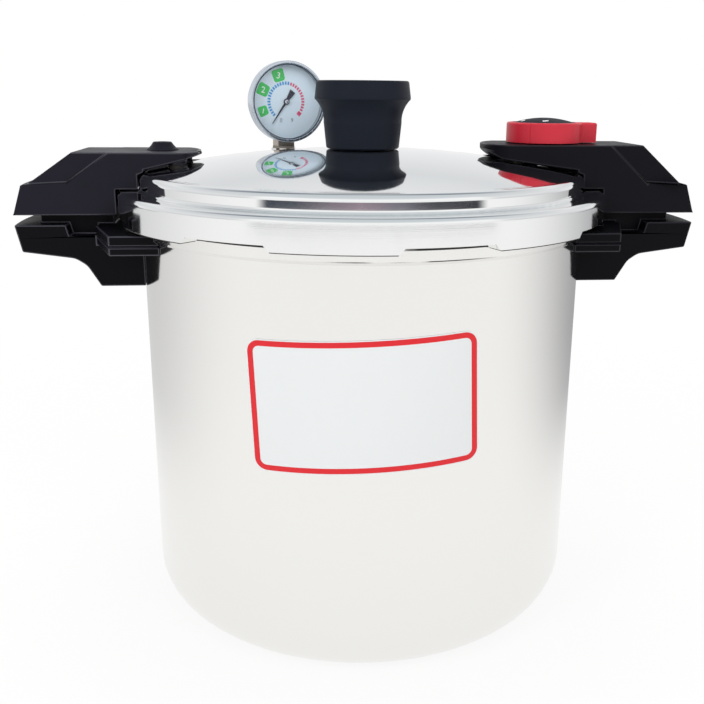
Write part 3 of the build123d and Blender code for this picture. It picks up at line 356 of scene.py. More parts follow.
# %% Polished aluminium
NOISE_SPAN = (0.3, 0.7)                  # where most of a noise's values lie
LATHE_STEP, LATHE_RELIEF = 0.5, 0.4      # mm; real lathe lines are finer, these are coarse enough to show
POLISH_CLOUD, PATCHY = 45.45, (0.85, 1.20)   # mm across a cloud of polish; what it does to the roughness
MIRROR_GRAIN, SATIN_GRAIN = 0.003, 0.02  # strength of the lathe lines
# Colour and roughness of the painted shade in the seams and round the screws.
SEAM_SHADE, SEAM_SHADE_ROUGH = "#1C1613", 0.6


def spun_aluminium(name, base, zone, roughs, seams=(), spots=()):
    """Bright aluminium: roughness climbs from mirror to satin between two distances from the axis (mm)."""
    made, tree, shader = finish(name, Base_Color=ink(base), Metallic=1.0)
    place = add(tree, "TexCoord", out="Object")
    height = add(tree, "SeparateXYZ", (place,), "Z")
    flat = add(tree, "VectorMath", (place, (1, 1, 0)), operation="MULTIPLY")
    from_axis = add(tree, "VectorMath", (flat,), "Value", operation="LENGTH")
    satin = add(tree, "MapRange", (from_axis, zone[0] * MM, zone[1] * MM))
    # Broad clouds of slightly duller polish, as hand buffing leaves them.
    cloud = add(tree, "TexNoise", {"Vector": place, "Scale": 1 / (POLISH_CLOUD * MM), "Detail": 4.0,
                                   "Roughness": 0.55}, "Fac")
    patchy = add(tree, "MapRange", (cloud, *NOISE_SPAN, *PATCHY))
    rough = add(tree, "MapRange", (satin, 0.0, 1.0, *roughs))
    rough = add(tree, "Math", (rough, patchy), operation="MULTIPLY")
    # Painted shade: seams and screw spots turn dark, dull and non-metal.
    if seams:
        dark = painted_seam_shade(tree, height, place, seams)
        if spots:
            dark = add(tree, "Math", (dark, screw_spot_shade(tree, place, spots)), operation="MAXIMUM")
        shade_mixed = add(tree, "Mix", {0: dark, 6: ink(base), 7: ink(SEAM_SHADE)}, **COLOURS)
        tree.links.new(shade_mixed, shader.inputs["Base Color"])
        tree.links.new(add(tree, "Math", (1.0, dark), operation="SUBTRACT"), shader.inputs["Metallic"])
        dull = add(tree, "Math", (dark, SEAM_SHADE_ROUGH), operation="MULTIPLY")
        rough = add(tree, "Math", (rough, dull), operation="MAXIMUM")
    tree.links.new(rough, shader.inputs["Roughness"])
    # Lathe lines run round the walls; on the dome they lie ten times wider and are faint.
    wide = add(tree, "Math", (from_axis, 0.1), operation="MULTIPLY")
    lines_at = add(tree, "CombineXYZ", (wide, height, 0.0))
    lines = add(tree, "TexNoise", {"Vector": lines_at, "Scale": 1 / (LATHE_STEP * MM), "Detail": 2.0,
                                   "Roughness": 0.6}, "Fac")
    depth = add(tree, "MapRange", (satin, 0.0, 1.0, MIRROR_GRAIN, SATIN_GRAIN))
    relief = add(tree, "Bump", {"Strength": depth, "Distance": LATHE_RELIEF * MM, "Height": lines})
    tree.links.new(relief, shader.inputs["Normal"])
    return made


print("lathe lines:", LATHE_STEP, "mm apart")

# %% [markdown]
# ## Lid, pot and rack
# The lid is a mirror out to its ledge and satin on its skirt. The pot is a shade duller, so its wall shows
# broad greys without outlines. The loose rack inside is plain satin sheet. All three come from the one
# recipe, because they are one metal.

# %% The three aluminium finishes
# Lines of painted shade under the tab edges, under the skirt and below the rim band.
# Each seam: lowest and highest Z, share of breaks, first and last X. Each spot: x, y. All in mm.
TAB_EDGE = ((280.8, 281.5, 0.30, -190, 190),)
POT_SEAMS = ((281.5, 283.4, 0.36, -190, 190), (274.7, 275.3, 0.40, -25, 58))
# Spots of painted shade round the screw pads under the lid grips.
LID_SCREWS = ((-128.0, 20.0), (106.0, 20.0))
# Buffed bright: the dome shows the knob and the gauge, the skirt only soft streaks.
lid_metal = spun_aluminium("aluminium lid, mirror dome and satin skirt", "#F3F4F4", (161, 168), (0.045, 0.09),
                           TAB_EDGE, LID_SCREWS)
# Polished but not buffed: pale in the middle, and grey where the wall turns away.
pot_metal = spun_aluminium("aluminium pot, polished wall", "#F1F0EE", (100, 154), (0.14, 0.10), POT_SEAMS)
# Left as rolled: even and dull.
rack_metal = spun_aluminium("aluminium jar rack, satin", "#DCDDDE", (1, 2), (0.30, 0.34))
print("metals:", lid_metal.name, "|", pot_metal.name, "|", rack_metal.name)

# %% [markdown]
# ## Mouldings and rubber
# The grips and the knob are black phenolic: dense, faintly blue and semi-matt, with a soft mottle that
# moulding leaves. The selector is red nylon, the seals are rubber. One flat colour would look like paint,
# so a slow mottle runs through the colour and the gloss, and a fine grain through the relief.

# %% Moulded finishes
MOTTLE, MOULD_RELIEF = 22.22, 0.2        # mm across a cloud of colour; mm of grain at full strength
MOULD_GLOSS = (0.88, 1.12)


def moulded(name, colours, rough, specular, grain=(0.5, 0.12)):
    """Plastic with a slow mottle of two colours; grain is its spacing in mm and its strength."""
    made, tree, shader = finish(name, Specular_IOR_Level=specular)
    place = add(tree, "TexCoord", out="Object")
    cloud = add(tree, "TexNoise", {"Vector": place, "Scale": 1 / (MOTTLE * MM), "Detail": 3.0,
                                   "Roughness": 0.5}, "Fac")
    tone = add(tree, "Mix", {0: cloud, 6: ink(colours[0]), 7: ink(colours[1])}, **COLOURS)
    tree.links.new(tone, shader.inputs["Base Color"])
    gloss = add(tree, "MapRange", (cloud, *NOISE_SPAN, *(rough * part for part in MOULD_GLOSS)))
    tree.links.new(gloss, shader.inputs["Roughness"])
    pores = add(tree, "TexNoise", {"Vector": place, "Scale": 1 / (grain[0] * MM), "Detail": 2.0}, "Fac")
    relief = add(tree, "Bump", {"Strength": grain[1], "Distance": MOULD_RELIEF * MM, "Height": pores})
    tree.links.new(relief, shader.inputs["Normal"])
    return made


# Phenolic skin is nearly black and semi-matt: wide soft lights, no mirror image. The grips are lit and
# shaded copies of one black: the left lid grip is painted palest as lit, the right one and the pot's two are
# painted darker as shade, the pot's two the darkest.
phenolic = moulded("black phenolic left lid grip, moulded semi-matt", ("#191821", "#1D1C26"), 0.42, 0.11)
right_shaded_phenolic = moulded("black phenolic right lid grip, moulded semi-matt", ("#0D0C12", "#111017"),
                         0.44, 0.09)
pot_shaded_phenolic = moulded("black phenolic pot grips, moulded semi-matt", ("#07070B", "#0A0A0F"), 0.46, 0.08)
knob_phenolic = moulded("black phenolic knob, moulded", ("#161A24", "#1A1F2A"), 0.44, 0.13, (0.5, 0.10))
# The rounded edges are smoother than the faces and painted paler, a painted highlight that draws a thin
# light on every ridge; the left edges are painted brighter than the right ones.
HIGHLIGHT_GRAIN = (0.5, 0.04)
highlit = {
    "left": moulded("black phenolic left edges, rubbed smooth", ("#2C2B35", "#34333D"),
                    0.30, 0.45, HIGHLIGHT_GRAIN),
    "right": moulded("black phenolic right edges, rubbed smooth", ("#17161D", "#1D1C24"),
                     0.34, 0.25, HIGHLIGHT_GRAIN),
}
# Nylon is smoother than phenolic, so the red keeps a soft shine; the cap is matt, to let its marks show.
red_nylon = moulded("red nylon, moulded", ("#C42034", "#CB283A"), 0.38, 0.40, (0.6, 0.08))
cap_black = moulded("black nylon cap, moulded", ("#10131D", "#141824"), 0.55, 0.15, (0.5, 0.08))
# Rubber and fibre are dull, with a grain that can be felt.
rubber = moulded("black rubber, moulded", ("#141414", "#1B1B1B"), 0.62, 0.3, (0.4, 0.25))
# The glass seal's blue-black is painted shade for the inner edge of the bezel.
seal_navy = moulded("blue-black rubber glass seal", ("#1C2C42", "#22344C"), 0.55, 0.3, (0.4, 0.2))
fibre = moulded("grey-brown fibre washer", ("#8E857C", "#9A9189"), 0.60, 0.3, (0.4, 0.25))
print("mouldings:", sum("moulded" in made.name for made in bpy.data.materials))

# %% [markdown]
# ## Plated parts and glass
# Screws and springs are zinc-plated steel, the gauge wears chrome and drawn steel, its stem is nickel-plated
# and its works are brass. Plating on drawn stock keeps faint lines along the draw, so these metals share one
# recipe: a stretched noise in the roughness. The glass is nearly clear, with a hard shine.

# %% Plated finishes
STREAK_SQUASH = (1.0, 1.0, 0.12)         # streaks lie about eight times longer along Z
STREAK_GLOSS = (0.75, 1.3)
GLASS_ROUGH, GLASS_COVER = 0.02, 0.03


def plated(name, base, rough, streak_mm):
    """Bright metal with faint drawn streaks along Z in its roughness."""
    made, tree, shader = finish(name, Base_Color=ink(base), Metallic=1.0)
    place = add(tree, "TexCoord", out="Object")
    drawn = add(tree, "VectorMath", (place, STREAK_SQUASH), operation="MULTIPLY")
    streak = add(tree, "TexNoise", {"Vector": drawn, "Scale": 1 / (streak_mm * MM), "Detail": 3.0}, "Fac")
    gloss = add(tree, "MapRange", (streak, *NOISE_SPAN, *(rough * part for part in STREAK_GLOSS)))
    tree.links.new(gloss, shader.inputs["Roughness"])
    return made


# Chrome is cold and bright, zinc greyer and softer, nickel warm, and brass yellow where it was turned.
chrome = plated("chrome-plated bezel", "#D3DCE6", 0.24, 1.5)
steel = plated("zinc-plated steel", "#B9BABC", 0.30, 0.8)
case_steel = plated("drawn steel gauge case", "#C9CACC", 0.24, 1.2)
nickel_brass = plated("nickel-plated brass stem", "#BDB2A7", 0.34, 0.8)
brass = plated("turned brass", "#C9A25A", 0.28, 0.6)
# Only the shine of the glass shows; the dial is seen through it.
glass = finish("clear gauge glass", Base_Color=ink("#FFFFFF"), Roughness=GLASS_ROUGH, Alpha=GLASS_COVER)[0]
print("finishes:", len(bpy.data.materials))

# %% [markdown]
# ## Painted and printed surfaces
# The dial is a thin plate in pale blue-white enamel. Ink lies on it in flat fields, so each ink is one
# colour with a slight unevenness, and the paper label is coated stock with the same faint tooth.
# A picture could carry all of this, but separate inks on thin plates stay sharp however close the eye comes.

# %% Enamel, card and inks
PRINT_SPECULAR, PRINT_GLOSS = 0.4, (0.85, 1.15)


def printed(name, code, rough, tooth_mm=0.35):
    """Flat ink or enamel: one colour, a little uneven in gloss."""
    made, tree, shader = finish(name, Base_Color=ink(code), Specular_IOR_Level=PRINT_SPECULAR)
    place = add(tree, "TexCoord", out="Object")
    tooth = add(tree, "TexNoise", {"Vector": place, "Scale": 1 / (tooth_mm * MM), "Detail": 2.0}, "Fac")
    gloss = add(tree, "MapRange", (tooth, *NOISE_SPAN, *(rough * part for part in PRINT_GLOSS)))
    tree.links.new(gloss, shader.inputs["Roughness"])
    return made


# Enamel and coated card are smooth and pale with a weak shine.
dial_enamel = printed("dial enamel, pale blue-white", "#DEF1FF", 0.45)
card = printed("coated label card", "#DCDEDF", 0.42, 0.6)
# Inks are strong and even; the needle's paint is matt, so that it never flashes.
label_red = printed("red label ink", "#D41C26", 0.40, 0.6)
needle_black = printed("black needle paint", "#0A1230", 0.55)
blue_ink = printed("blue scale ink", "#2496DC", 0.45)
red_ink = printed("crimson scale ink", "#DC3F74", 0.45)
green_ink = printed("green badge ink", "#30CC60", 0.45)
white_ink = printed("white ink", "#FBFDFD", 0.45)
grey_ink = printed("grey-blue ink", "#5E7488", 0.45)
print("inks:", sum(" ink" in made.name for made in bpy.data.materials))

# %% [markdown]
# ## Dressing the solids
# Most solids have the right shape already, so they keep it and only take a finish. Each could be dressed in a
# line of its own; a table of finish to pieces is shorter and shows at a glance what is made of what.

# %% Give each solid its finish
DRESS = (
    (pot_metal, ("pot_body",)),
    (lid_metal, ("lid_shell",)),
    (rack_metal, ("jar_rack",)),
    (phenolic, ("lid_handle_left", "pin_cone")),
    (right_shaded_phenolic, ("lid_handle_right",)),
    (pot_shaded_phenolic, ("pot_handle_left", "pot_handle_right")),
    (knob_phenolic, ("lid_knob",)),
    (red_nylon, ("selector_collar",)),
    (cap_black, ("selector_cap",)),
    (card, ("front_label",)),
    (chrome, ("gauge_bezel",)),
    (case_steel, ("gauge_case",)),
    (glass, ("gauge_lens",)),
    (dial_enamel, ("gauge_dial",)),
    (needle_black, ("gauge_pointer",)),
    (nickel_brass, ("gauge_stem",)),
    (rubber, ("lid_gasket", "valve_seal", "lock_pin_seal", "safety_plug")),
    (fibre, ("gauge_stem_seal",)),
    (brass, ("gauge_spindle", "gauge_sector", "gauge_movement", "gauge_tube", "valve_body", "valve_bonnet",
             "pin_bush")),
    (steel, ("pot_bracket_left", "pot_bracket_right", "bracket_rivets", "pot_handle_screws",
             "lid_handle_screws", "lid_handle_washers", "knob_screw", "knob_washer", "gauge_stem_nut",
             "valve_nut", "valve_plunger", "valve_spring", "selector_clip", "pin_nut", "lock_pin")),
)
for metal, names in DRESS:
    for name in names:
        nodes[name].data.materials.clear()
        nodes[name].data.materials.append(metal)
print("dressed:", sum(len(names) for _, names in DRESS), "of", len(nodes))

# %% [markdown]
# ## Soft edges on the mouldings
# A moulded part has no knife edges: the tool's corners are rounded by about a millimetre, and that thin
# round is what catches the light along every ridge. Each grip is copied, its coincident points are merged
# and its flat facets joined, and a bevel then rounds every edge that turns by more than thirty degrees.
# The bevel has a finish of its own: smoother than the faces between them, and painted paler as a highlight.

# %% Round the edges of the grips
EDGE_WIDTH, EDGE_STEPS, EDGE_TURN = 0.9, 3, math.radians(30.0)
MERGE_WITHIN, FLAT_WITHIN = 0.004, math.radians(0.4)


def softened(node, body, metal, edges):
    """Copy of a solid with its sharp edges rounded; the copy takes its place."""
    work = bmesh.new()
    work.from_mesh(nodes[node].data)
    bmesh.ops.remove_doubles(work, verts=work.verts, dist=MERGE_WITHIN * MM)
    bmesh.ops.dissolve_limit(work, angle_limit=FLAT_WITHIN, verts=work.verts, edges=work.edges)
    mesh = bpy.data.meshes.new(node + "_soft")
    work.to_mesh(mesh)
    work.free()
    for name in ("custom_normal", "sharp_edge", "sharp_face"):
        if name in mesh.attributes:
            mesh.attributes.remove(mesh.attributes[name])
    mesh.polygons.foreach_set("use_smooth", np.ones(len(mesh.polygons), bool))
    mesh.materials.clear()
    mesh.materials.append(metal)
    mesh.materials.append(edges)
    piece = bpy.data.objects.new(node + "_soft", mesh)
    scene.collection.objects.link(piece)
    bevel = piece.modifiers.new("moulded edge", "BEVEL")
    bevel.width = EDGE_WIDTH * MM
    bevel.segments = EDGE_STEPS
    bevel.material = 1
    bevel.limit_method = "ANGLE"
    bevel.angle_limit = EDGE_TURN
    bevel.use_clamp_overlap = False
    bevel.harden_normals = True
    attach(piece, body)
    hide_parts(node)
    return piece


# Painted light: the left grips take the lit copies, the right grips the shaded ones, the pot grips the
# darkest.
for side, metal in (("left", phenolic), ("right", right_shaded_phenolic)):
    upper = softened("lid_handle_" + side, "lid", metal, highlit[side])
    lower = softened("pot_handle_" + side, "pot", pot_shaded_phenolic, highlit[side])
    print(side, "faces:", len(upper.data.polygons), len(lower.data.polygons))

# %% [markdown]
# ## New pieces
# Every piece below is worked out as an array of points, so three helpers serve them all. One makes the
# object, one joins rings of points by quads, and one closes flat outlines into thin plates. Blender's own
# cylinders and rings would need fitting afterwards; points that are worked out in place need none.

# %% Helpers for new pieces


def new_piece(name, points, faces, metal, body, slot, smooth=False):
    """Mesh object at the origin from an array of points, with its finish and body; the slot is not used."""
    mesh = bpy.data.meshes.new(name)
    mesh.from_pydata(points.tolist(), [], faces)
    mesh.polygons.foreach_set("use_smooth", np.full(len(faces), smooth))
    mesh.materials.append(metal)
    piece = bpy.data.objects.new(name, mesh)
    scene.collection.objects.link(piece)
    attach(piece, body)
    return piece


def ring_faces(rings, around, closed=True):
    """Quads between each ring of points and the next; if closed, the last ring is joined to the first."""
    k, j = np.meshgrid(np.arange(rings if closed else rings - 1), np.arange(around), indexing="ij")
    next_k, next_j = (k + 1) % rings, (j + 1) % around
    corners = (k * around + j, k * around + next_j, next_k * around + next_j, next_k * around + j)
    return np.stack(corners, -1).reshape(-1, 4)


def plate_faces(count, corners):
    """Faces of count closed prisms of that many corners: lower ring first, then upper ring."""
    ring = np.arange(corners)
    after = np.roll(ring, -1)
    start = np.arange(count)[:, None] * 2 * corners
    sides = np.stack([ring, after, after + corners, ring + corners], 1) + start[..., None]
    return (ring[::-1] + start).tolist() + (ring + corners + start).tolist() + sides.reshape(-1, 4).tolist()


print("faces of a square plate:", len(plate_faces(1, 4)))

# %% [markdown]
# ## Places on the dial
# Ink on a dial is a film, so each mark is a closed plate a few hundredths of a millimetre thick. The gauge
# faces a little to one side, so a mark is drawn flat, in millimetres right of and above the dial's middle,
# and then carried on to the dial. The needle's own axis says which way the dial faces.

# %% From the drawing to the dial
axis = Vector(joints["pointer_sweep"]["axis"])
GAUGE_N = np.array(axis)
GAUGE_X = np.array((-axis.y, axis.x, 0.0))
GAUGE_UP = np.array((0.0, 0.0, 1.0))
GAUGE_O = np.array(joints["pointer_sweep"]["pos_m"])
DIAL_BACK = 7.6


def on_dial(x, y, lift):
    """Point x right and y up on the dial, lift above its front, all in millimetres, as row coordinates."""
    depth = np.broadcast_to(lift - DIAL_BACK, np.shape(x))
    return GAUGE_O + (x[..., None] * GAUGE_X + y[..., None] * GAUGE_UP + depth[..., None] * GAUGE_N) * MM


def dial_plates(name, x, y, thick, metal):
    """Prisms standing on the dial; x and y are arrays of (plates, corners), counter-clockwise."""
    points = np.concatenate([on_dial(x, y, 0.0), on_dial(x, y, thick)], 1).reshape(-1, 3)
    return new_piece(name, points, plate_faces(*x.shape), metal, "lid", "dial_white")


print("gauge faces", [round(value, 3) for value in axis])

# %% [markdown]
# ## The outline of the lid's rim
# Between dome and skirt the sheet is rolled through four tight curves, and a mirror shows every flat in them.
# The solid carries these curves as a few strips, so a fine ring of polished metal is laid on them, a few
# hundredths of a millimetre proud. A smoothed copy of the whole lid would do it too, with far more faces.
# The ring starts from the lid's own outline, in millimetres: straight runs and arcs through three points.

# %% Outline of the rim
LEDGE_Z, WALL_R, SKIRT_R, SHOULDER, HOLLOW = 301.5, 155.6, 170.4, 3.5, 2.4
DOME_EDGE, DOME_RISE = (150.6, LEDGE_Z + 11.4), 15.1
RING_IN, SKIRT_LAP = 148.7, 0.3
EDGE_DROP, EDGE_SWELL = 0.5, 0.1
DOME_POINTS, EDGE_POINTS, HOLLOW_POINTS, SHOULDER_POINTS = 8, 26, 12, 18
# Points close to both ends keep the straight runs flat under smooth shading.
RUN_SHARES = np.array([0.01, 0.05, 0.3, 0.7, 0.95, 0.99])[:, None]


def arc_through(start, middle, end, count):
    """Points in equal turns on the circle through three points; its centre is equally far from all three."""
    (ax, ay), (bx, by), (cx, cy) = start, middle, end
    d = 2 * (ax * (by - cy) + bx * (cy - ay) + cx * (ay - by))
    a2, b2, c2 = ax * ax + ay * ay, bx * bx + by * by, cx * cx + cy * cy
    ox = (a2 * (by - cy) + b2 * (cy - ay) + c2 * (ay - by)) / d
    oy = (a2 * (cx - bx) + b2 * (ax - cx) + c2 * (bx - ax)) / d
    first, last = math.atan2(ay - oy, ax - ox), math.atan2(cy - oy, cx - ox)
    turn = np.linspace(first, first + (last - first + math.pi) % (2 * math.pi) - math.pi, count)
    r = math.hypot(ax - ox, ay - oy)
    return np.stack([ox + r * np.cos(turn), oy + r * np.sin(turn)], 1)


def rim_outline():
    """Radius and height along the rim: dome, round edge, wall, hollow, ledge, shoulder, top of the skirt."""
    half = math.sqrt(0.5)
    ball = (DOME_EDGE[0] ** 2 + DOME_RISE ** 2) / (2 * DOME_RISE)
    r = np.linspace(RING_IN, DOME_EDGE[0], DOME_POINTS)
    dome = np.stack([r, DOME_EDGE[1] + DOME_RISE - ball + np.sqrt(ball ** 2 - r ** 2)], 1)
    span = WALL_R - DOME_EDGE[0]
    turn_z = DOME_EDGE[1] - span + EDGE_DROP
    middle = (DOME_EDGE[0] + span * half + EDGE_SWELL, turn_z + (span - EDGE_DROP) * half + EDGE_SWELL)
    edge = arc_through(DOME_EDGE, middle, (WALL_R, turn_z), EDGE_POINTS)
    sink = HOLLOW * (1 - half)
    hollow = arc_through((WALL_R, LEDGE_Z + HOLLOW), (WALL_R + sink, LEDGE_Z + sink),
                         (WALL_R + HOLLOW, LEDGE_Z), HOLLOW_POINTS)
    drop = SHOULDER * (1 - half)
    shoulder = arc_through((SKIRT_R - SHOULDER, LEDGE_Z), (SKIRT_R - drop, LEDGE_Z - drop),
                           (SKIRT_R, LEDGE_Z - SHOULDER), SHOULDER_POINTS)
    wall = edge[-1] + (hollow[0] - edge[-1]) * RUN_SHARES
    ledge = hollow[-1] + (shoulder[0] - hollow[-1]) * RUN_SHARES
    skirt = np.array([[SKIRT_R, LEDGE_Z - SHOULDER - SKIRT_LAP]])
    return np.concatenate([dome[:-1], edge, wall, hollow, ledge, shoulder, skirt])


print("rim outline:", len(rim_outline()), "points")

# %% [markdown]
# ## The polished ring
# The outline is set a little proud and a little sunk along its own normals, which gives a closed section, and
# that section is carried round the axis in small steps. Blender's Screw modifier would turn it as well; the
# array keeps the last step exactly on the first.

# %% Fine ring over the rim
SKIN_PROUD, SKIN_DEEP = 0.07, 0.25


def rim_ring(around=540):
    """Section of the outline proud and, backwards, sunk: (r cos t, r sin t, z) for each of its points."""
    line = rim_outline()
    run = np.gradient(line, axis=0)
    out = np.stack([-run[:, 1], run[:, 0]], 1) / np.linalg.norm(run, axis=1)[:, None]
    section = np.concatenate([line + SKIN_PROUD * out, (line - SKIN_DEEP * out)[::-1]])
    turn = np.linspace(0, 2 * np.pi, around, endpoint=False)
    r, z = section[:, 0][:, None], section[:, 1][:, None]
    points = np.stack([r * np.cos(turn), r * np.sin(turn), z * np.ones(around)], -1) * MM
    outwards = ring_faces(len(section), around)[:, [0, 3, 2, 1]]
    return points.reshape(-1, 3), outwards.tolist()


rim = new_piece("lid_rim_polish", *rim_ring(), lid_metal, "lid", "polished_aluminium", smooth=True)
print("rim faces:", len(rim.data.polygons))

# %% [markdown]
# ## The valve's spring
# A coil of thin steel wire holds the valve's plunger down. It is a round section carried along a helix,
# which a bevelled curve would give too, but the array lets its ends stop exactly at the solid's. It closes
# up as the plunger lifts; here it is drawn at rest, with its turns evenly spaced.

# %% Wire coil
SPRING_WIRE, SPRING_TURNS, PLUNGER_TRAVEL = 0.45, 5, 2.5
SPRING_BOX = np.array(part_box("valve_spring")) / MM
SPRING_AXIS = np.append(SPRING_BOX.mean(0)[:2], 0.0)
SPRING_R = np.ptp(SPRING_BOX[:, 1]) / 2 - SPRING_WIRE
SPRING_TOP = SPRING_BOX[1, 2]


def wire_coil(along=201, around=12):
    """Helix of radius R climbing evenly, with a circle of wire set square to it; both ends are closed."""
    turn = np.linspace(0, 2 * np.pi * SPRING_TURNS, along)
    low, high = SPRING_BOX[0, 2] + SPRING_WIRE, SPRING_TOP - SPRING_WIRE
    climb = (high - low) / turn[-1]
    out = np.stack([np.cos(turn), np.sin(turn), np.zeros(along)], 1)
    ahead = np.stack([-SPRING_R * np.sin(turn), SPRING_R * np.cos(turn), np.full(along, climb)], 1)
    ahead /= np.linalg.norm(ahead, axis=1)[:, None]
    side = np.cross(ahead, out)
    middle = SPRING_AXIS + SPRING_R * out + np.stack([0 * turn, 0 * turn, low + climb * turn], 1)
    t = np.linspace(0, 2 * np.pi, around, endpoint=False)[None, :, None]
    points = middle[:, None] + SPRING_WIRE * (np.cos(t) * out[:, None] + np.sin(t) * side[:, None])
    ends = [list(range(around))[::-1], list(range((along - 1) * around, along * around))]
    return points.reshape(-1, 3) * MM, ring_faces(along, around, closed=False).tolist() + ends


coil = new_piece("valve_spring_coil", *wire_coil(), steel, "lid", "steel", smooth=True)
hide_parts("valve_spring")
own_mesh(coil)

# %% [markdown]
# ## The gauge's scale
# Ticks nine degrees apart run clockwise from lower left to lower right. The first part is blue, the rest
# crimson, and a block marks the end. They could be one ring with a pattern, but separate bars keep clean
# ends. Angles count from the top, clockwise positive.

# %% Ticks and end block
TICK_IN, TICK_OUT, TICK_HALF = 12.5, 14.9, 0.68
TICK_STEP, SCALE_END, BLUE_END, RED_END = 9.0, 135.0, 12, 122
BLOCK_AT, BLOCK_HALF, BLOCK_PROUD = 130.5, 1.5, 0.4
INK_FILM = 0.05


def ticks(angles, r_in, r_out, half):
    """Small bars that point to the middle: four corners from each angle, counter-clockwise."""
    turn = np.radians(np.asarray(angles, float))[:, None]
    along = np.array([r_in, r_out, r_out, r_in])[None, :]
    across = np.array([half, half, -half, -half])[None, :]
    x = along * np.sin(turn) + across * np.cos(turn)
    y = along * np.cos(turn) - across * np.sin(turn)
    return x, y


steps = np.arange(-SCALE_END, SCALE_END + 0.1, TICK_STEP)
blue_steps, red_steps = steps[steps < BLUE_END], steps[(steps > BLUE_END) & (steps < RED_END)]
dial_plates("scale_blue", *ticks(blue_steps, TICK_IN, TICK_OUT, TICK_HALF), INK_FILM, blue_ink)
dial_plates("scale_red", *ticks(red_steps, TICK_IN, TICK_OUT, TICK_HALF), INK_FILM, red_ink)
dial_plates("scale_end_block", *ticks([BLOCK_AT], TICK_IN - BLOCK_PROUD, TICK_OUT + BLOCK_PROUD, BLOCK_HALF),
            INK_FILM, red_ink)
print("ticks:", len(blue_steps), "blue,", len(red_steps), "crimson")

# %% [markdown]
# ## Badges
# Three green badges stand outside the scale. A badge is a square with rounded corners, a little wider at its
# outer side, turned to face the middle of the dial. A bevelled square would do, but the flare is easier to
# work out on its points: quarter arcs first, and then a stretch that grows with height.

# %% Shape of a badge
# Each badge: number, angle, distance from the middle and size (mm).
BADGES = (("1", -110.5, 19.6, 7.4), ("2", -64.0, 20.0, 9.0), ("3", -16.5, 20.1, 9.2))
BADGE_CORNER, BADGE_FLARE, BADGE_FILM = 0.2, 0.14, 0.08


def badge_outline(size, corner, flare, count=8):
    """Rounded square: four quarter arcs of count points, its outer side wider by flare."""
    sweep = np.linspace(0, np.pi / 2, count)
    turn = (np.arange(4)[:, None] * np.pi / 2 + sweep[None, :]).ravel()
    centre = size / 2 - corner
    x = np.repeat([1, -1, -1, 1], count) * centre + corner * np.cos(turn)
    y = np.repeat([1, 1, -1, -1], count) * centre + corner * np.sin(turn)
    return x * (1 + flare * y / size), y


def turned(x, y, angle, distance):
    """Carry an outline out to a distance from the dial's middle and turn it by a clockwise angle."""
    a = math.radians(angle)
    up_by = y + distance
    return x * math.cos(a) + up_by * math.sin(a), up_by * math.cos(a) - x * math.sin(a)


def badge_plate(text, angle, distance, size):
    """Badge as a thin plate of ink: its outline, carried out to its place and turned."""
    x, y = turned(*badge_outline(size, size * BADGE_CORNER, BADGE_FLARE), angle, distance)
    return dial_plates("badge_" + text, x[None, :], y[None, :], BADGE_FILM, green_ink)


print("badges to come:", [text for text, *_ in BADGES])

# %% [markdown]
# ## Numbers
# The badges carry the plain numbers one, two and three, and two small numbers mark the ends of the scale.
# Digits drawn by hand would look odd, so Blender's own outline font is made a mesh, scaled to its height,
# leaned a little and laid on the dial as a film of ink.

# %% Badges with their numbers
NUMBER_LEAN, NUMBER_SHARE, NUMBER_LIFT = 12.0, 0.5, 0.09
END_NUMBERS = (("0", -4.3), ("9", 4.6))
END_Y, END_LEAN, END_HEIGHT, END_LIFT = -13.8, 8.0, 3.0, 0.01
TEXT_DEPTH = 0.02


def number_plate(name, text, centre, lean, height, lift, metal):
    """A number as a thin mesh: the outline font is made a mesh, scaled, leaned and laid on the dial."""
    curve = bpy.data.curves.new(name, "FONT")
    curve.body = text
    curve.align_x, curve.align_y = "CENTER", "CENTER"
    curve.extrude = TEXT_DEPTH
    holder = bpy.data.objects.new(name, curve)
    scene.collection.objects.link(holder)
    bpy.context.view_layer.update()
    mesh = bpy.data.meshes.new_from_object(holder.evaluated_get(bpy.context.evaluated_depsgraph_get()))
    bpy.data.objects.remove(holder)
    points = np.zeros(len(mesh.vertices) * 3)
    mesh.vertices.foreach_get("co", points)
    points = points.reshape(-1, 3)
    middle = (points[:, :2].max(0) + points[:, :2].min(0)) / 2
    flat = (points[:, :2] - middle) * height / np.ptp(points[:, 1])
    x, y = turned(flat[:, 0], flat[:, 1], lean, 0.0)
    high = np.where(points[:, 2] > 0, lift + INK_FILM, lift)
    faces = [list(face.vertices) for face in mesh.polygons]
    return new_piece(name, on_dial(x + centre[0], y + centre[1], high), faces, metal, "lid", "dial_white")


for text, angle, distance, size in BADGES:
    badge_plate(text, angle, distance, size)
    number_plate("badge_number_" + text, text, turned(0.0, 0.0, angle, distance), NUMBER_LEAN,
                 size * NUMBER_SHARE, NUMBER_LIFT, white_ink)
for text, across in END_NUMBERS:
    number_plate("scale_number_" + text, text, (across, END_Y), END_LEAN, END_HEIGHT, END_LIFT, grey_ink)
print("numbers:", len(BADGES) + len(END_NUMBERS))

# %% [markdown]
# ## The needle's hub
# A small plated cap covers the end of the spindle. It could be half a squashed sphere; a quarter ellipse
# turned about the axis gives the same dome with a flat, closed foot.

# %% Hub cap
CAP_R, CAP_H, CAP_BASE = 1.6, 0.6, 2.1


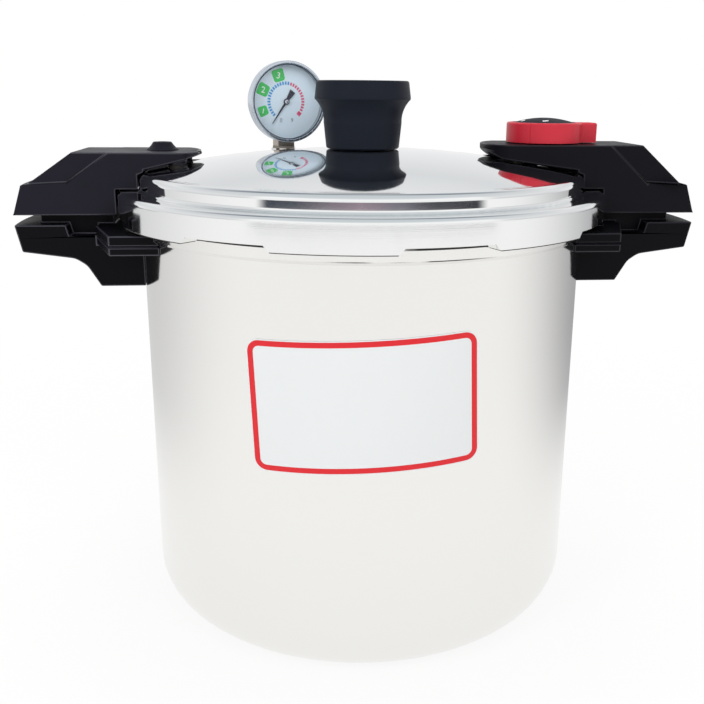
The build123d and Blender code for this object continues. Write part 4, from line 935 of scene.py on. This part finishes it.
def turned_cap(r, h, base, around=48, rise=8):
    """Quarter ellipse spun about the dial's axis: radius r cos t, height h sin t, foot and pole closed."""
    t = np.linspace(0, np.pi / 2, rise + 1)[:-1]
    a = np.linspace(0, 2 * np.pi, around, endpoint=False)
    rings = on_dial(r * np.cos(t)[:, None] * np.cos(a), r * np.cos(t)[:, None] * np.sin(a),
                    (base + h * np.sin(t))[:, None] * np.ones(around))
    pole = on_dial(np.zeros(1), np.zeros(1), base + h)
    points = np.concatenate([rings.reshape(-1, 3), pole])
    last = (rise - 1) * around + np.arange(around)
    tip = np.stack([last, np.roll(last, -1), np.full(around, len(points) - 1)], 1)
    foot = [list(range(around))[::-1]]
    return points, ring_faces(rise, around, closed=False).tolist() + tip.tolist() + foot


new_piece("pointer_hub_cap", *turned_cap(CAP_R, CAP_H, CAP_BASE), chrome, "pointer", "needle_black",
          smooth=True)
print("hub radius:", CAP_R, "mm")

# %% [markdown]
# ## The seal of the gauge glass
# A thin rubber ring lies between the glass and the lip of the bezel; its blue-black is painted shade of the
# bezel's inner edge and shows as a dark line round the dial.
# A torus would be rounder than cut rubber sheet is, so a small rectangle is carried round the gauge's axis.

# %% Glass seal
SEAL_IN, SEAL_OUT, SEAL_BACK, SEAL_FRONT = 27.10, 27.70, 6.36, 6.75


def seal_ring(around=160):
    """Rectangle of four corners (radius, lift), carried round the dial's axis and joined up."""
    turn = np.linspace(0, 2 * np.pi, around, endpoint=False)
    r = np.array([SEAL_IN, SEAL_OUT, SEAL_OUT, SEAL_IN])[:, None]
    lift = np.array([SEAL_BACK, SEAL_BACK, SEAL_FRONT, SEAL_FRONT])[:, None] * np.ones(around)
    points = on_dial(r * np.cos(turn), r * np.sin(turn), lift)
    return points.reshape(-1, 3), ring_faces(4, around).tolist()


# Blue-black ring: painted shade at the bezel's inner edge.
new_piece("gauge_glass_seal", *seal_ring(), seal_navy, "lid", "black_rubber")
print("seal:", round(SEAL_OUT - SEAL_IN, 2), "mm wide")

# %% [markdown]
# ## The label's border
# The paper label wears a red line round its edge. The line is a flat ribbon: a rounded rectangle drawn on the
# flat card and carried back on to the round wall, with a film of ink for its thickness. Colour by place in
# the card's finish would be simpler, but its edge would blur when the finish is turned into a picture.

# %% Ribbon of red ink
LABEL_TURN, LABEL_Z, LABEL_TILT = math.radians(-94.1), 187.6, math.radians(2.5)
LABEL_W, LABEL_H, LABEL_CORNER, LABEL_FACE = 137.98, 83.4, 8.0, 155.45
BORDER, BORDER_INSET, BORDER_LIFT, BORDER_FILM = 3.4, 0.7, 0.02, 0.06


def rounded_loop(width, height, corner, straight=28, arc=10):
    """Closed loop of a rounded rectangle, counter-clockwise, sampled along its sides and corners."""
    x0, y0 = width / 2 - corner, height / 2 - corner
    quarter = np.linspace(0, np.pi / 2, arc)
    run = np.linspace(0, 1, straight + 2)[1:-1]
    xs, ys = [], []
    for k, (sx, sy) in enumerate(((1, 1), (-1, 1), (-1, -1), (1, -1))):
        turn = quarter + k * np.pi / 2
        xs.append(sx * x0 + corner * np.cos(turn))
        ys.append(sy * y0 + corner * np.sin(turn))
        nx, ny = (-sx * x0, sy * y0 + sy * corner) if k % 2 == 0 else (sx * (x0 + corner), -sy * y0)
        xs.append(xs[-1][-1] + (nx - xs[-1][-1]) * run)
        ys.append(ys[-1][-1] + (ny - ys[-1][-1]) * run)
    return np.concatenate(xs), np.concatenate(ys)


def on_wall(x, y, r):
    """Flat card point (mm) turned by the label's tilt and carried straight back to the wall of radius r."""
    across = x * math.cos(LABEL_TILT) - y * math.sin(LABEL_TILT)
    tall = x * math.sin(LABEL_TILT) + y * math.cos(LABEL_TILT)
    angle = LABEL_TURN + np.arcsin(across / r)
    return np.stack([r * np.cos(angle), r * np.sin(angle), LABEL_Z + tall], -1) * MM


def border_ribbon():
    """Ring between two rounded loops: four corners of its section, carried round and joined up."""
    outer, inner = (rounded_loop(LABEL_W - 2 * inset, LABEL_H - 2 * inset, LABEL_CORNER - inset)
                    for inset in (BORDER_INSET, BORDER_INSET + BORDER))
    low, high = LABEL_FACE + BORDER_LIFT, LABEL_FACE + BORDER_LIFT + BORDER_FILM
    section = ((outer, low), (outer, high), (inner, high), (inner, low))
    rings = np.stack([on_wall(*loop, r) for loop, r in section])
    return rings.reshape(-1, 3), ring_faces(4, rings.shape[1]).tolist()


border = new_piece("label_border", *border_ribbon(), label_red, "pot", "label_card")
print("border faces:", len(border.data.polygons))

# %% [markdown]
# ## Marks on the selector cap
# Two small white marks on the cap tell the settings apart: a dot and a bar. The cap is part of a ball, so
# each mark is a flat outline dropped on to that ball, with a film of paint for its thickness. A flat mark
# would stand off the cap at one side and sink into it at the other.

# %% Dot and bar
CAP_BOX = np.array(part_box("selector_cap")) / MM
CAP_MIDDLE = CAP_BOX.mean(0)[:2]
CAP_EDGE, CAP_RISE = np.ptp(CAP_BOX[:, 0]) / 2, 3.84
CAP_BALL = (CAP_EDGE ** 2 + CAP_RISE ** 2) / (2 * CAP_RISE)
MARK_FOOT, MARK_TOP = -0.05, 0.10
DOT_R, DOT_AT = 1.5, (-16.5, -3.0)
BAR_SIZE, BAR_CORNER, BAR_AT = (4.4, 1.6), 0.6, (-3.5, -15.5)


def on_cap(x, y, lift):
    """Point x, y from the cap's middle, lifted off the ball: z = top - R + sqrt(R^2 - x^2 - y^2) + lift."""
    z = CAP_BOX[1, 2] - CAP_BALL + np.sqrt(CAP_BALL ** 2 - x ** 2 - y ** 2) + lift
    return np.stack([CAP_MIDDLE[0] + x, CAP_MIDDLE[1] + y, z], -1) * MM


def cap_mark(name, x, y):
    """Prism between the cap and a painted film above it, from a counter-clockwise outline."""
    points = np.concatenate([on_cap(x, y, MARK_FOOT), on_cap(x, y, MARK_TOP)])
    return new_piece(name, points, plate_faces(1, len(x)), white_ink, "selector", "dial_white")


round_about = np.linspace(0, 2 * np.pi, 32, endpoint=False)
cap_mark("cap_dot", DOT_AT[0] + DOT_R * np.cos(round_about), DOT_AT[1] + DOT_R * np.sin(round_about))
bar_x, bar_y = rounded_loop(*BAR_SIZE, BAR_CORNER, straight=4, arc=5)
cap_mark("cap_bar", bar_x + BAR_AT[0], bar_y + BAR_AT[1])
print("cap ball radius:", round(CAP_BALL, 1), "mm")
